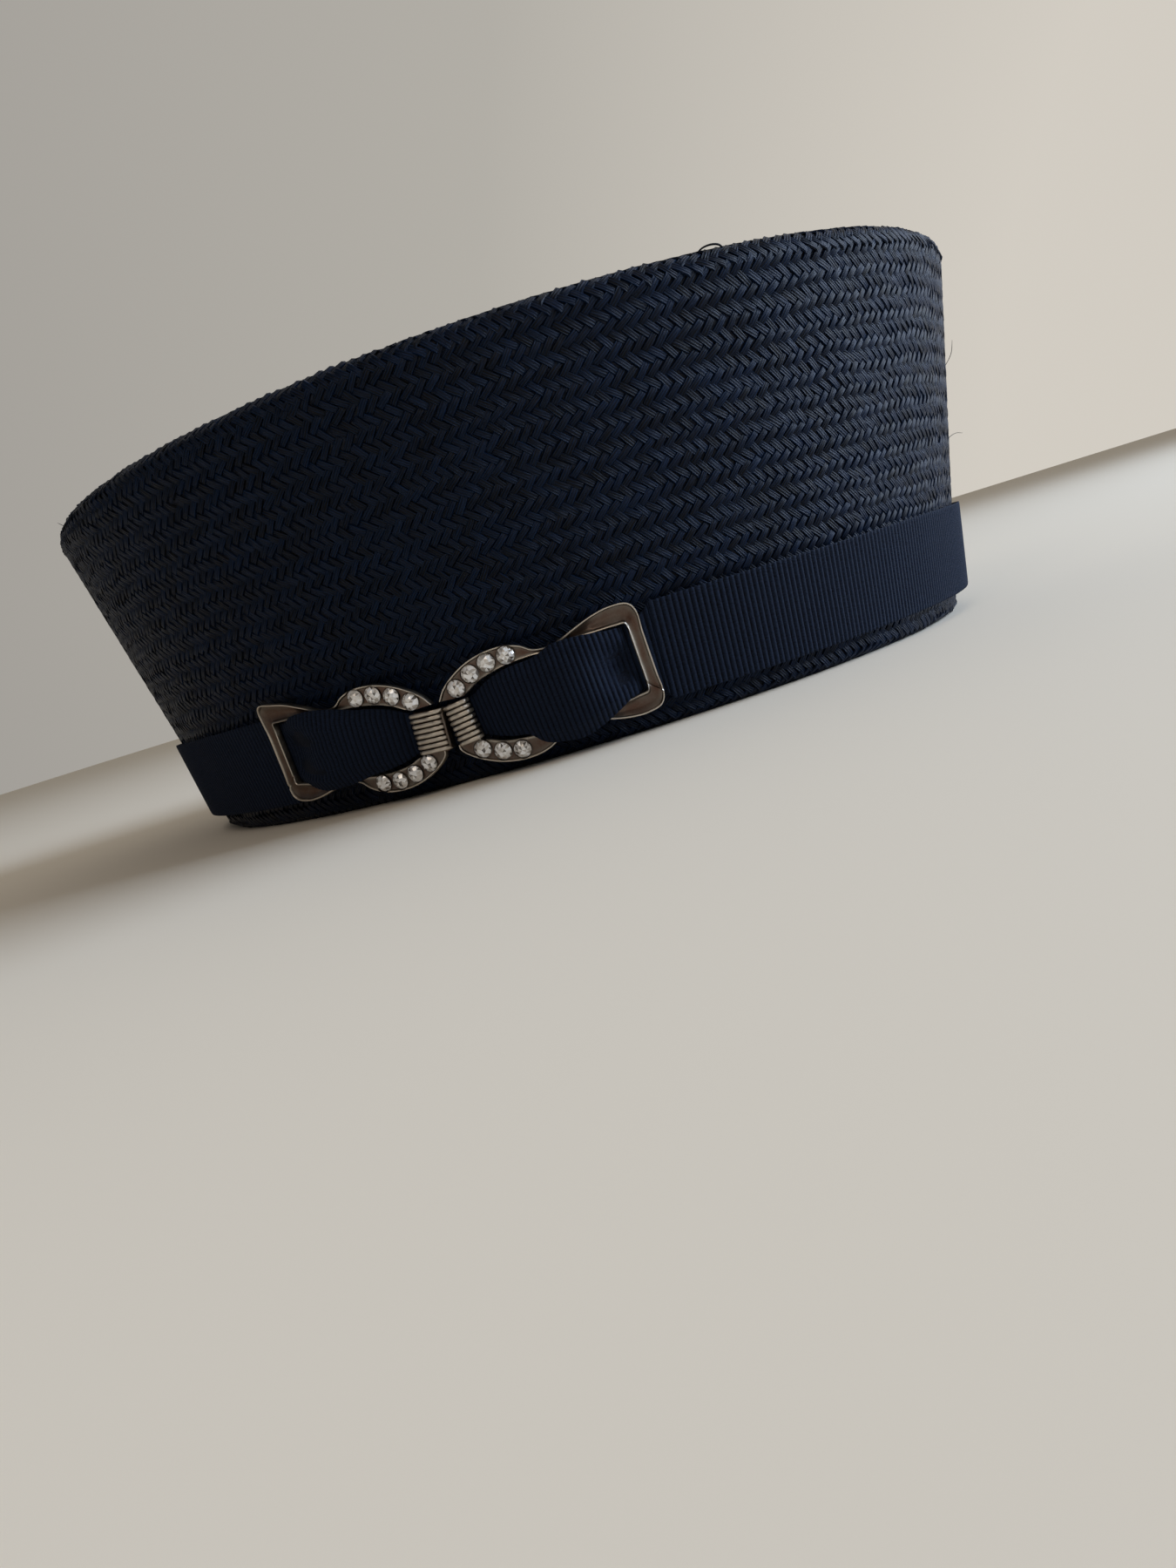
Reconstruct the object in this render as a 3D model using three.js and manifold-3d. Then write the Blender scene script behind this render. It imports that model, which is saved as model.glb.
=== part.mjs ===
// Straw pillbox hat with a ribbed ribbon band drawn through two stone-set metal slides.
// The open rim stands on z = 0, +Z is up and +X is the front of the hat. Sizes are in millimetres.

import * as THREE from "three";
import { mergeVertices } from "three/addons/utils/BufferGeometryUtils.js";
import Module from "manifold-3d";

// Crown
const rimHalfLength = 102; // outside of the rim, from the middle to the front
const rimHalfWidth = 86; // outside of the rim, from the middle to one side
const crownHeight = 82.3; // from the rim to the top edge
const crownFlare = 15.3; // how far the wall leans out between the rim and the top edge
const tipRise = 2.5; // how far the middle of the flat tip stands over its edge
const strawWall = 2;
const rimRoll = 3; // outer rounding of the rim
const rimFlat = 1.6; // width of the flat edge that the hat stands on
const hemHeight = 8; // height of the edge turned in under the wall
const topRounding = 4;
const crownSides = 72;
const roundSteps = 3;

// Ribbon band
const ribbonLow = 4.9; // height of its lower edge
const ribbonHigh = 24.4; // height of its upper edge
const ribbonThick = 1.2;
const ribbonGapLow = 1.8; // between crown and ribbon at the lower edge
const ribbonGapHigh = 0.5; // between crown and ribbon at the upper edge
const puffHeight = 5; // how far the ribbon swells over the arms of a slide
const puffCrown = 0.6; // how much more its middle swells than its edges
const bandSections = 60; // sections of the plain part of the ribbon
const ribbonEase = 1.6; // length beyond the bar in which the ribbon reaches its full width

// Slides
const slideLength = 40.5; // from the start of the crescents to the outside of the bar
const slideHalf = 11.3; // from the middle line to the outside of a crescent
const slideLevel = 12.7; // height of the point where the middle lines of both start
const slideLift = 0.4; // clearance between ribbon and metal
const plateFloor = 1.2; // thickness of the metal inside its raised edge
const lipHeight = 0.5;
const lipWidth = 0.4;
const barrelHigh = 4.1; // upper end of a barrel over the middle line
const barrelLow = 4.6; // lower end of a barrel under the middle line
const barrelRise = 2.6; // height of a barrel over the back of the slide
const barrelTurns = 8; // ribs on a barrel
const turnDepth = 0.28;
const barrelSides = 9;

// Stones
const stoneRadius = 1.7;
const stoneTable = 0.95; // radius of the flat top facet
const stoneCrown = 0.75; // from the girdle to the table
const stoneDepth = 0.9; // from the girdle to the flat bottom
const stoneFoot = 0.35; // radius of the flat bottom
const stoneClearance = 0.3;
const lipClearance = 0.2; // between a stone and the raised edge beside it
const stoneFacets = 8;

// Each slide starts at an arc length from the middle of the hat's right side and runs forward or back.
const slides = [
  { name: "front", start: 10.2, sense: 1, tilt: 3.5, barrelFrom: 0.4, barrelTo: 5 },
  { name: "rear", start: 7.9, sense: -1, tilt: 5.5, barrelFrom: -1.9, barrelTo: 5.3 },
];

// Upper half of a slide, from the free end of its crescent to the middle of its bar.
// Shares of slideLength along and of slideHalf across, for the outer and the inner edge.
const slideEdge = [
  { outAlong: 0.0, outAcross: 0.46, inAlong: 0.114, inAcross: 0.407 },
  { outAlong: 0.042, outAcross: 0.637, inAlong: 0.153, inAcross: 0.46 },
  { outAlong: 0.116, outAcross: 0.814, inAlong: 0.207, inAcross: 0.549 },
  { outAlong: 0.198, outAcross: 0.938, inAlong: 0.262, inAcross: 0.602 },
  { outAlong: 0.296, outAcross: 1.0, inAlong: 0.321, inAcross: 0.637 },
  { outAlong: 0.388, outAcross: 0.98, inAlong: 0.39, inAcross: 0.655 },
  { outAlong: 0.457, outAcross: 0.885, inAlong: 0.452, inAcross: 0.655 },
  { outAlong: 0.504, outAcross: 0.755, inAlong: 0.504, inAcross: 0.646 },
  { outAlong: 0.558, outAcross: 0.708, inAlong: 0.558, inAcross: 0.619 },
  { outAlong: 0.617, outAcross: 0.726, inAlong: 0.617, inAcross: 0.637 },
  { outAlong: 0.716, outAcross: 0.841, inAlong: 0.716, inAcross: 0.655 },
  { outAlong: 0.81, outAcross: 0.938, inAlong: 0.81, inAcross: 0.637 },
  { outAlong: 0.894, outAcross: 0.973, inAlong: 0.894, inAcross: 0.619 },
  { outAlong: 0.972, outAcross: 0.92, inAlong: 0.921, inAcross: 0.602 },
  { outAlong: 1.0, outAcross: 0.761, inAlong: 0.926, inAcross: 0.52 },
  { outAlong: 1.0, outAcross: 0.38, inAlong: 0.926, inAcross: 0.3 },
  { outAlong: 1.0, outAcross: 0.0, inAlong: 0.926, inAcross: 0.0 },
];
const edgeSteps = 2; // stations in each row of the table above

// Where the lower crescent runs on into the barrel.
const crescentFoot = { outAlong: 0.0, outAcross: 0.372, inAlong: 0.114, inAcross: 0.345 };

// Middles of the stones on a crescent, as shares of slideLength along and of slideHalf across.
const stoneSeats = [
  { along: 0.104, across: 0.572 },
  { along: 0.193, across: 0.726 },
  { along: 0.286, across: 0.81 },
  { along: 0.383, across: 0.812 },
];

// Rows of stones: the last seat of the lower front crescent is covered by the ribbon.
const stoneRows = [
  { slide: "front", side: 1, count: 4 },
  { slide: "front", side: -1, count: 3 },
  { slide: "rear", side: 1, count: 4 },
  { slide: "rear", side: -1, count: 4 },
];

// The ribbon inside the slides, from under the barrels to the bars. Along is a share of slideLength,
// the edges are shares of slideHalf, and lift and dent are shares of puffHeight.
const ribbonRows = [
  { along: 0.0, frontLow: -0.345, frontHigh: 0.345, rearLow: -0.345, rearHigh: 0.345, lift: 0, dent: 0 },
  { along: 0.13, frontLow: -0.345, frontHigh: 0.345, rearLow: -0.345, rearHigh: 0.345, lift: 0, dent: 0 },
  { along: 0.163, frontLow: -0.398, frontHigh: 0.381, rearLow: -0.39, rearHigh: 0.38, lift: 0.17, dent: 0 },
  { along: 0.222, frontLow: -0.487, frontHigh: 0.478, rearLow: -0.48, rearHigh: 0.48, lift: 0.44, dent: 0 },
  { along: 0.296, frontLow: -0.566, frontHigh: 0.566, rearLow: -0.55, rearHigh: 0.56, lift: 0.7, dent: 0 },
  { along: 0.346, frontLow: -0.61, frontHigh: 0.6, rearLow: -0.59, rearHigh: 0.59, lift: 0.8, dent: 0 },
  { along: 0.4, frontLow: -0.805, frontHigh: 0.611, rearLow: -0.61, rearHigh: 0.61, lift: 0.86, dent: 0 },
  { along: 0.494, frontLow: -0.92, frontHigh: 0.62, rearLow: -0.7, rearHigh: 0.69, lift: 0.92, dent: 0.02 },
  { along: 0.593, frontLow: -0.965, frontHigh: 0.72, rearLow: -0.76, rearHigh: 0.74, lift: 0.96, dent: 0.04 },
  { along: 0.704, frontLow: -0.858, frontHigh: 0.7, rearLow: -0.78, rearHigh: 0.74, lift: 0.92, dent: 0.12 },
  { along: 0.79, frontLow: -0.726, frontHigh: 0.646, rearLow: -0.7, rearHigh: 0.69, lift: 0.84, dent: 0.24 },
  { along: 0.84, frontLow: -0.58, frontHigh: 0.57, rearLow: -0.575, rearHigh: 0.57, lift: 0.66, dent: 0.26 },
  { along: 0.885, frontLow: -0.54, frontHigh: 0.54, rearLow: -0.54, rearHigh: 0.54, lift: 0.22, dent: 0.08 },
  { along: 0.908, frontLow: -0.54, frontHigh: 0.54, rearLow: -0.54, rearHigh: 0.54, lift: 0, dent: 0 },
];
const ribbonSteps = 2; // sections in each row of the table above

// Columns of points across the ribbon: a share of its width, and how much each follows crown and dent.
const ribbonColumns = [
  { share: 0, swell: 0, dent: 0 },
  { share: 0.25, swell: 0.7, dent: 0.5 },
  { share: 0.5, swell: 1, dent: 1 },
  { share: 0.75, swell: 0.7, dent: 0.5 },
  { share: 1, swell: 0, dent: 0 },
];

const straw = new THREE.MeshStandardMaterial({ color: "#171b2b", roughness: 0.75, metalness: 0 });
const grosgrain = new THREE.MeshStandardMaterial({ color: "#1c1e30", roughness: 0.8, metalness: 0 });
const gunmetal = new THREE.MeshStandardMaterial({ color: "#645c4e", roughness: 0.4, metalness: 0.9 });
const crystal = new THREE.MeshStandardMaterial({ color: "#e9e6e0", roughness: 0.05, metalness: 0.1 });

const wasm = await Module();
wasm.setup();

// How far the outside of the wall stands out from the rim's oval at a height.
function wallOffset(z) {
  return (crownFlare * (z - rimRoll)) / (crownHeight - topRounding - rimRoll);
}

function ovalPoint(angle, offset, z) {
  const x = (rimHalfLength + offset) * Math.cos(angle);
  const y = (rimHalfWidth + offset) * Math.sin(angle);
  return new THREE.Vector3(x, y, z);
}

// The angle on the oval at an arc length forward of the middle of the right side.
function angleAt(arc) {
  const steps = 60;
  const a = rimHalfLength + wallOffset(slideLevel);
  const b = rimHalfWidth + wallOffset(slideLevel);
  let angle = -Math.PI / 2;
  for (let i = 0; i < steps; i++) {
    const rate = Math.hypot(a * Math.sin(angle), b * Math.cos(angle));
    angle += arc / steps / rate;
  }
  return angle;
}

// How far the ribbon's outer face stands off the crown at a height.
function ribbonFace(z) {
  const share = (z - ribbonLow) / (ribbonHigh - ribbonLow);
  return ribbonGapLow + (ribbonGapHigh - ribbonGapLow) * share + ribbonThick;
}

// A point of a slide: along and across its middle line, and out from the face of the plain ribbon.
function seat(slide, along, across, out) {
  const tilt = THREE.MathUtils.degToRad(slide.tilt);
  const arc = slide.start + slide.sense * (along * Math.cos(tilt) - across * Math.sin(tilt));
  const z = slideLevel + along * Math.sin(tilt) + across * Math.cos(tilt);
  return ovalPoint(angleAt(arc), wallOffset(z) + ribbonFace(z) + out, z);
}

// A closed surface from points and faces, turned so that the faces look out.
function surface(points, faces) {
  const volume = faces.reduce((sum, [a, b, c]) => {
    return sum + points[a].dot(new THREE.Vector3().crossVectors(points[b], points[c]));
  }, 0);
  const outward = volume < 0 ? faces.map(([a, b, c]) => [a, c, b]) : faces;
  const geometry = new THREE.BufferGeometry();
  geometry.setAttribute(
    "position",
    new THREE.Float32BufferAttribute(points.flatMap((p) => p.toArray()), 3),
  );
  geometry.setIndex(outward.flat());
  return geometry;
}

// Faces between closed rings of equal count, from one ring to the next.
function ringFaces(rings, count, closed) {
  const faces = [];
  const last = closed ? rings : rings - 1;
  for (let i = 0; i < last; i++) {
    for (let j = 0; j < count; j++) {
      const next = (j + 1) % count;
      const above = i * count;
      const below = ((i + 1) % rings) * count;
      faces.push([above + j, below + j, below + next]);
      faces.push([above + j, below + next, above + next]);
    }
  }
  return faces;
}

// A fan that closes one end of a chain of rings, around the ring's point number hub.
function capFaces(first, count, hub, reversed) {
  const faces = [];
  for (let k = 1; k < count - 1; k++) {
    const a = first + ((hub + k) % count);
    const b = first + ((hub + k + 1) % count);
    faces.push(reversed ? [first + hub, b, a] : [first + hub, a, b]);
  }
  return faces;
}

// A chain of sections with both ends closed.
function chain(sections, hub = 0) {
  const count = sections[0].length;
  const faces = ringFaces(sections.length, count, false);
  faces.push(...capFaces(0, count, hub, false));
  faces.push(...capFaces((sections.length - 1) * count, count, hub, true));
  return surface(sections.flat(), faces);
}

function toSolid(geometry) {
  const bare = geometry.clone();
  bare.deleteAttribute("normal");
  bare.deleteAttribute("uv");
  const merged = mergeVertices(bare, 1e-4);
  return new wasm.Manifold(
    new wasm.Mesh({
      numProp: 3,
      vertProperties: new Float32Array(merged.attributes.position.array),
      triVerts: new Uint32Array(merged.index.array),
    }),
  );
}

function toGeometry(solid) {
  const mesh = solid.getMesh();
  const geometry = new THREE.BufferGeometry();
  geometry.setAttribute("position", new THREE.BufferAttribute(mesh.vertProperties, 3));
  geometry.setIndex(new THREE.BufferAttribute(mesh.triVerts, 1));
  return geometry;
}

// Points of a quarter round, as pairs of an offset and a height.
function quarter(offset, z, radius, from, to) {
  return Array.from({ length: roundSteps + 1 }, (_, i) => {
    const turn = THREE.MathUtils.degToRad(from + ((to - from) * i) / roundSteps);
    return [offset + radius * Math.cos(turn), z + radius * Math.sin(turn)];
  });
}

// The crown: a straw shell, open underneath, from the middle of the tip outside to its middle inside.
function crown() {
  const top = crownHeight - topRounding;
  const rimIn = -rimRoll - rimFlat;
  const innerRound = topRounding - strawWall;
  const profile = [
    ...quarter(crownFlare - topRounding, top, topRounding, 90, 0),
    [wallOffset(crownHeight * 0.5), crownHeight * 0.5],
    ...quarter(-rimRoll, rimRoll, rimRoll, 0, -90),
    [rimIn, 0],
    [rimIn, hemHeight],
    [wallOffset(hemHeight) - strawWall, hemHeight + strawWall],
    [wallOffset(crownHeight * 0.5) - strawWall, crownHeight * 0.5],
    ...quarter(crownFlare - topRounding, top, innerRound, 0, 90),
  ];
  const angles = Array.from({ length: crownSides }, (_, j) => (2 * Math.PI * j) / crownSides);
  const tipRows = [0.35, 0.7];
  const tipRow = (share, z) => {
    const a = (rimHalfLength + crownFlare - topRounding) * share;
    const b = (rimHalfWidth + crownFlare - topRounding) * share;
    const rise = tipRise * (1 - share * share);
    return angles.map((t) => new THREE.Vector3(a * Math.cos(t), b * Math.sin(t), z + rise));
  };
  const rows = [
    ...tipRows.map((share) => tipRow(share, crownHeight)),
    ...profile.map(([offset, z]) => angles.map((t) => ovalPoint(t, offset, z))),
    ...[...tipRows].reverse().map((share) => tipRow(share, crownHeight - strawWall)),
  ];
  const points = rows.flat();
  const faces = ringFaces(rows.length, crownSides, false);
  const outerTop = points.length;
  const innerTop = outerTop + 1;
  points.push(new THREE.Vector3(0, 0, crownHeight + tipRise));
  points.push(new THREE.Vector3(0, 0, crownHeight + tipRise - strawWall));
  const lastRow = (rows.length - 1) * crownSides;
  for (let j = 0; j < crownSides; j++) {
    const next = (j + 1) % crownSides;
    faces.push([outerTop, j, next]);
    faces.push([innerTop, lastRow + next, lastRow + j]);
  }
  return surface(points, faces);
}

// The rows of a table with evenly spaced rows put between them.
function betweenRows(rows, steps) {
  const out = [];
  rows.slice(0, -1).forEach((row, i) => {
    for (let k = 0; k < steps; k++) {
      const mixed = {};
      for (const key of Object.keys(row)) {
        mixed[key] = THREE.MathUtils.lerp(row[key], rows[i + 1][key], k / steps);
      }
      out.push(mixed);
    }
  });
  out.push(rows[rows.length - 1]);
  return out;
}

// One closed section of the ribbon: up its outer face and down its inner face.
function ribbonSection(pointAt) {
  const outer = ribbonColumns.map((column) => pointAt(column, 0));
  const inner = ribbonColumns.map((column) => pointAt(column, -ribbonThick));
  return [...outer, ...inner.reverse()];
}

function slideRibbon(slide) {
  return betweenRows(ribbonRows, ribbonSteps).map((row) => {
    const low = row[slide.name + "Low"] * slideHalf;
    const high = row[slide.name + "High"] * slideHalf;
    return ribbonSection((column, depth) => {
      const across = THREE.MathUtils.lerp(low, high, column.share);
      const swell = puffCrown * row.lift * column.swell;
      const out = row.lift * puffHeight + swell - row.dent * puffHeight * column.dent;
      return seat(slide, row.along * slideLength, across, out + depth);
    });
  });
}

function plainRibbon(angle) {
  return ribbonSection((column, depth) => {
    const z = THREE.MathUtils.lerp(ribbonLow, ribbonHigh, column.share);
    return ovalPoint(angle, wallOffset(z) + ribbonFace(z) + depth, z);
  });
}

// The ribbon: one closed band round the crown, which narrows and swells inside the slides.
function ribbonBand() {
  const [front, rear] = slides;
  const reach = slideLength + ribbonEase;
  const from = angleAt(front.start + reach);
  const to = angleAt(rear.start - reach) + 2 * Math.PI;
  const sections = [];
  for (let i = 0; i <= bandSections; i++) {
    sections.push(plainRibbon(from + ((to - from) * i) / bandSections));
  }
  sections.push(...slideRibbon(rear).reverse());
  sections.push(...slideRibbon(front));
  const count = sections[0].length;
  return surface(sections.flat(), ringFaces(sections.length, count, true));
}

// Stations of a slide's edges from the free end of the upper crescent round to the barrel.
function slideStations() {
  const lower = [...slideEdge].reverse().slice(1).concat(crescentFoot);
  const rows = [...slideEdge, ...lower.map((row) => mirrored(row))];
  const curve = (along, across) => {
    const knots = rows.map((row) => {
      return new THREE.Vector3(row[along] * slideLength, row[across] * slideHalf, 0);
    });
    return new THREE.CatmullRomCurve3(knots).getPoints((rows.length - 1) * edgeSteps);
  };
  const outer = curve("outAlong", "outAcross");
  const inner = curve("inAlong", "inAcross");
  return outer.map((point, i) => ({ outer: point, inner: inner[i] }));
}

function mirrored(row) {
  return { ...row, outAcross: -row.outAcross, inAcross: -row.inAcross };
}

// One section of a slide's metal, with a raised lip along the outer edge.
function slideSection(slide, station) {
  const width = station.outer.distanceTo(station.inner);
  const lip = Math.min(lipWidth / width, 0.35);
  const floor = slideLift + plateFloor;
  const corners = [
    [lip, floor],
    [1, floor],
    [1, slideLift],
    [0, slideLift],
    [0, floor + lipHeight],
    [lip * 0.7, floor + lipHeight],
  ];
  return corners.map(([share, out]) => {
    const p = new THREE.Vector3().lerpVectors(station.outer, station.inner, share);
    return seat(slide, p.x, p.y, out);
  });
}

// The barrel of a slide: a half-round pad with ribs across it.
function barrel(slide) {
  const middle = (slide.barrelFrom + slide.barrelTo) / 2;
  const half = (slide.barrelTo - slide.barrelFrom) / 2;
  const rings = [];
  for (let i = 0; i <= 2 * barrelTurns; i++) {
    const across = THREE.MathUtils.lerp(-barrelLow, barrelHigh, i / (2 * barrelTurns));
    const sunk = i % 2 ? 0 : turnDepth;
    const ring = Array.from({ length: barrelSides }, (_, k) => {
      const turn = (Math.PI * k) / (barrelSides - 1);
      const along = middle - (half - sunk) * Math.cos(turn);
      return seat(slide, along, across, slideLift + (barrelRise - sunk) * Math.sin(turn));
    });
    rings.push(ring);
  }
  return chain(rings);
}

// The hollow under a stone, with its clearance.
function stonePit(slide, along, across) {
  const floor = slideLift + plateFloor;
  const slope = (stoneRadius - stoneFoot) / stoneDepth;
  const mouth = stoneRadius - slope * stoneClearance + stoneClearance;
  const levels = [
    [stoneRadius + lipClearance, floor + lipHeight + stoneClearance],
    [stoneRadius + lipClearance, floor],
    [mouth, floor],
    [stoneFoot + stoneClearance, floor - stoneDepth + stoneClearance],
  ];
  const rings = levels.map(([radius, out]) => {
    return Array.from({ length: stoneFacets }, (_, k) => {
      const turn = (2 * Math.PI * k) / stoneFacets;
      return seat(slide, along + radius * Math.cos(turn), across + radius * Math.sin(turn), out);
    });
  });
  return chain(rings);
}

// The stones of a slide: their names and middles.
function stonesOf(slide) {
  return stoneRows
    .filter((row) => row.slide === slide.name)
    .flatMap((row) => {
      return stoneSeats.slice(0, row.count).map((place, i) => ({
        name: `stone_${slide.name}_${row.side > 0 ? "upper" : "lower"}_${i + 1}`,
        along: place.along * slideLength,
        across: place.across * slideHalf * row.side,
      }));
    });
}

function slideMetal(slide) {
  const sections = slideStations().map((station) => slideSection(slide, station));
  let solid = toSolid(chain(sections)).add(toSolid(barrel(slide)));
  for (const stone of stonesOf(slide)) {
    solid = solid.subtract(toSolid(stonePit(slide, stone.along, stone.across)));
  }
  return toGeometry(solid);
}

// A round stone with a flat table, two rows of facets above the girdle and one below it.
function stoneShape() {
  const ring = (radius, z, turn) => {
    return Array.from({ length: stoneFacets }, (_, k) => {
      const t = (2 * Math.PI * (k + turn)) / stoneFacets;
      return new THREE.Vector3(radius * Math.cos(t), radius * Math.sin(t), z);
    });
  };
  const shoulder = (stoneTable + stoneRadius) / 2;
  return chain([
    ring(stoneFoot, -stoneDepth, 0),
    ring(stoneRadius, 0, 0.5),
    ring(shoulder, stoneCrown * 0.6, 0),
    ring(stoneTable, stoneCrown, 0.5),
  ]);
}

function mesh(name, geometry, material) {
  const made = new THREE.Mesh(geometry, material);
  made.name = name;
  return made;
}

// A stone set into its slide, with its table facing out.
function setStone(slide, stone, geometry) {
  const girdle = slideLift + plateFloor + stoneClearance;
  const at = seat(slide, stone.along, stone.across, girdle);
  const along = seat(slide, stone.along + 1, stone.across, girdle).sub(at);
  const across = seat(slide, stone.along, stone.across + 1, girdle).sub(at);
  const out = new THREE.Vector3().crossVectors(along, across).multiplyScalar(slide.sense).normalize();
  const made = mesh(stone.name, geometry, crystal);
  made.position.copy(at);
  made.quaternion.setFromUnitVectors(new THREE.Vector3(0, 0, 1), out);
  return made;
}

const hat = new THREE.Group();
hat.add(mesh("crown", crown(), straw));
hat.add(mesh("ribbon_band", ribbonBand(), grosgrain));
const stoneGeometry = stoneShape();
for (const slide of slides) {
  hat.add(mesh(`slide_${slide.name}`, slideMetal(slide), gunmetal));
  for (const stone of stonesOf(slide)) {
    hat.add(setStone(slide, stone, stoneGeometry));
  }
}

export default hat;
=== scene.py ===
import math

import bmesh
import bpy
import numpy as np
from mathutils import Matrix, Vector


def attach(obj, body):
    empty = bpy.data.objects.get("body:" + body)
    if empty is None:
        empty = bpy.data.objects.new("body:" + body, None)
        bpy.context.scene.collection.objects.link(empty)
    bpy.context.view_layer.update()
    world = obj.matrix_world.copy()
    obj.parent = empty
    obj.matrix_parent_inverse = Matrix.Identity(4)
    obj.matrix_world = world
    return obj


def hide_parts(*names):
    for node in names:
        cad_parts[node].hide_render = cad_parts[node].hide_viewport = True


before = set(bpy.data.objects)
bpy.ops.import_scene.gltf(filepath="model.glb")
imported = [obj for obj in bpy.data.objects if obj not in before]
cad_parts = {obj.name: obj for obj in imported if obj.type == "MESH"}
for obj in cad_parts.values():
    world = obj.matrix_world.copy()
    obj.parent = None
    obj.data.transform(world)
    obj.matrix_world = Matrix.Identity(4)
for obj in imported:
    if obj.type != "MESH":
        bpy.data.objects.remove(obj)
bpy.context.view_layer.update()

# Straw pillbox hat with a ribbed ribbon band drawn through two stone-set metal slides.
# The frame is in metres. The sizes below are in millimetres, as a hat maker has them.
MM = 0.001
PHOTO_WIDTH = 1350
PHOTO_HEIGHT = 1800
SEED = 7

# Kinds of node that are used often
MATH = "ShaderNodeMath"
VECTOR = "ShaderNodeVectorMath"
NOISE = "ShaderNodeTexNoise"

# Crown
RIM_HALF_LENGTH = 102.0
RIM_HALF_WIDTH = 86.0
CROWN_HEIGHT = 82.3
CROWN_FLARE = 15.3
TIP_RISE = 2.5
STRAW_WALL = 2.0
RIM_ROLL = 3.0
RIM_FLAT = 1.6
HEM_HEIGHT = 8.0
TOP_ROUNDING = 4.0

# Straw weave: a 2/2 twill laid on the slant
# A strand's profile: places along and across it as shares, and how far each lies under its face.
STRAND_LENGTHWISE = ((-0.64, -0.5), (-0.47, -0.09), (0.0, 0.0), (0.47, -0.09), (0.64, -0.5))
STRAND_CROSSWISE = ((-0.485, -0.32), (-0.385, 0.0), (0.385, 0.0), (0.485, -0.32))
STRAND_WIDTH = 1.55
ROW_PITCH = STRAND_WIDTH * math.sqrt(2)
WALL_COLUMNS = 288
NARROWEST_CELL = 1.75
WEAVE_DEPTH = 0.42  # from the face of the straw down to the ground under it
FOOT_LEVEL = 0.03  # the rim's strands are pressed flat at this height
DRIFT = 0.9  # strands wander by up to half of this share of a cell of the weave
UNEVENNESS = 1.4  # times each strand's own small turns
SUNK_SHARE = 0.0012  # of all strands

# Ribbon
RIBBON_LOW = 4.9
RIBBON_HIGH = 24.4
RIBBON_GAP_LOW = 1.8
RIBBON_GAP_HIGH = 0.5
RIBBON_SPACE = 1.2  # room that the ribbon takes up off the crown
RIBBON_THICK = 0.55
RIBBON_EASE = 5.3  # length in which it spreads to its full width under a bar
PUFF_HEIGHT = 5.0
PUFF_CROWN = 0.6
SELVEDGE_DROP = 1.3
HOLLOW_ALONG = 36.0  # where the ribbon sinks in before it passes under the bar
HOLLOW_DEPTH = 5.4
JOIN_LENGTH = 2.3  # of ribbon under the two barrels
RIB_PITCH = 1.14
RIB_RELIEF = 0.4
COLUMNS_PER_RIB = 4

# Slides
SLIDE_LENGTH = 40.5
SLIDE_HALF = 11.3
SLIDE_LEVEL = 12.7
SLIDE_LIFT = 0.4
PLATE_FLOOR = 1.2
LIP_HEIGHT = 0.5
LIP_WIDTH = 0.4
BARREL_HIGH = 4.1
BARREL_LOW = 4.6
BARREL_RISE = 2.6
BARREL_TURNS = 8
FLANGE_INSET = 0.4

# Stones
STONE_RADIUS = 1.78
STONE_CLEARANCE = 0.3
PIT_RADIUS = 1.92
PIT_DEPTH = 0.8

# Each slide starts at a length from the middle of the right side and tilts by some degrees. Its barrel
# has two ends, and the ribbon's hollow in it a middle across, a reach along and a spread across.
FRONT = {
    "name": "front",
    "start": 10.2,
    "sense": 1,
    "tilt": 3.5,
    "barrel": (0.4, 5.0),
    "hollow": (-0.4, 5.4, 3.9),
}
REAR = {
    "name": "rear",
    "start": 7.9,
    "sense": -1,
    "tilt": 5.5,
    "barrel": (-1.9, 5.3),
    "hollow": (0.2, 7.0, 5.6),
}
SLIDES = (FRONT, REAR)

# Half of a slide's outline: shares of its length and half width, for the outer and the inner edge.
SLIDE_EDGE = (
    (0.0, 0.46, 0.114, 0.407),
    (0.042, 0.637, 0.153, 0.46),
    (0.116, 0.814, 0.207, 0.549),
    (0.198, 0.938, 0.262, 0.602),
    (0.296, 1.0, 0.321, 0.637),
    (0.388, 0.98, 0.39, 0.655),
    (0.457, 0.885, 0.452, 0.655),
    (0.504, 0.755, 0.504, 0.646),
    (0.558, 0.708, 0.558, 0.619),
    (0.617, 0.726, 0.617, 0.637),
    (0.716, 0.841, 0.716, 0.655),
    (0.81, 0.938, 0.81, 0.637),
    (0.894, 0.973, 0.894, 0.619),
    (0.972, 0.92, 0.932, 0.602),
    (1.0, 0.761, 0.939, 0.52),
    (1.0, 0.38, 0.94, 0.3),
    (1.0, 0.0, 0.94, 0.0),
)
# The outer corner of the rear slide's upper arm runs to a point.
REAR_CORNER = ((0.984, 0.98), (1.008, 0.86))
CRESCENT_FOOT = (0.0, 0.372, 0.114, 0.345)
STONE_SEATS = ((0.104, 0.572), (0.193, 0.726), (0.286, 0.81), (0.383, 0.812))
STONE_ROWS = (("front", 1, 4), ("front", -1, 3), ("rear", 1, 4), ("rear", -1, 4))

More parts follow.
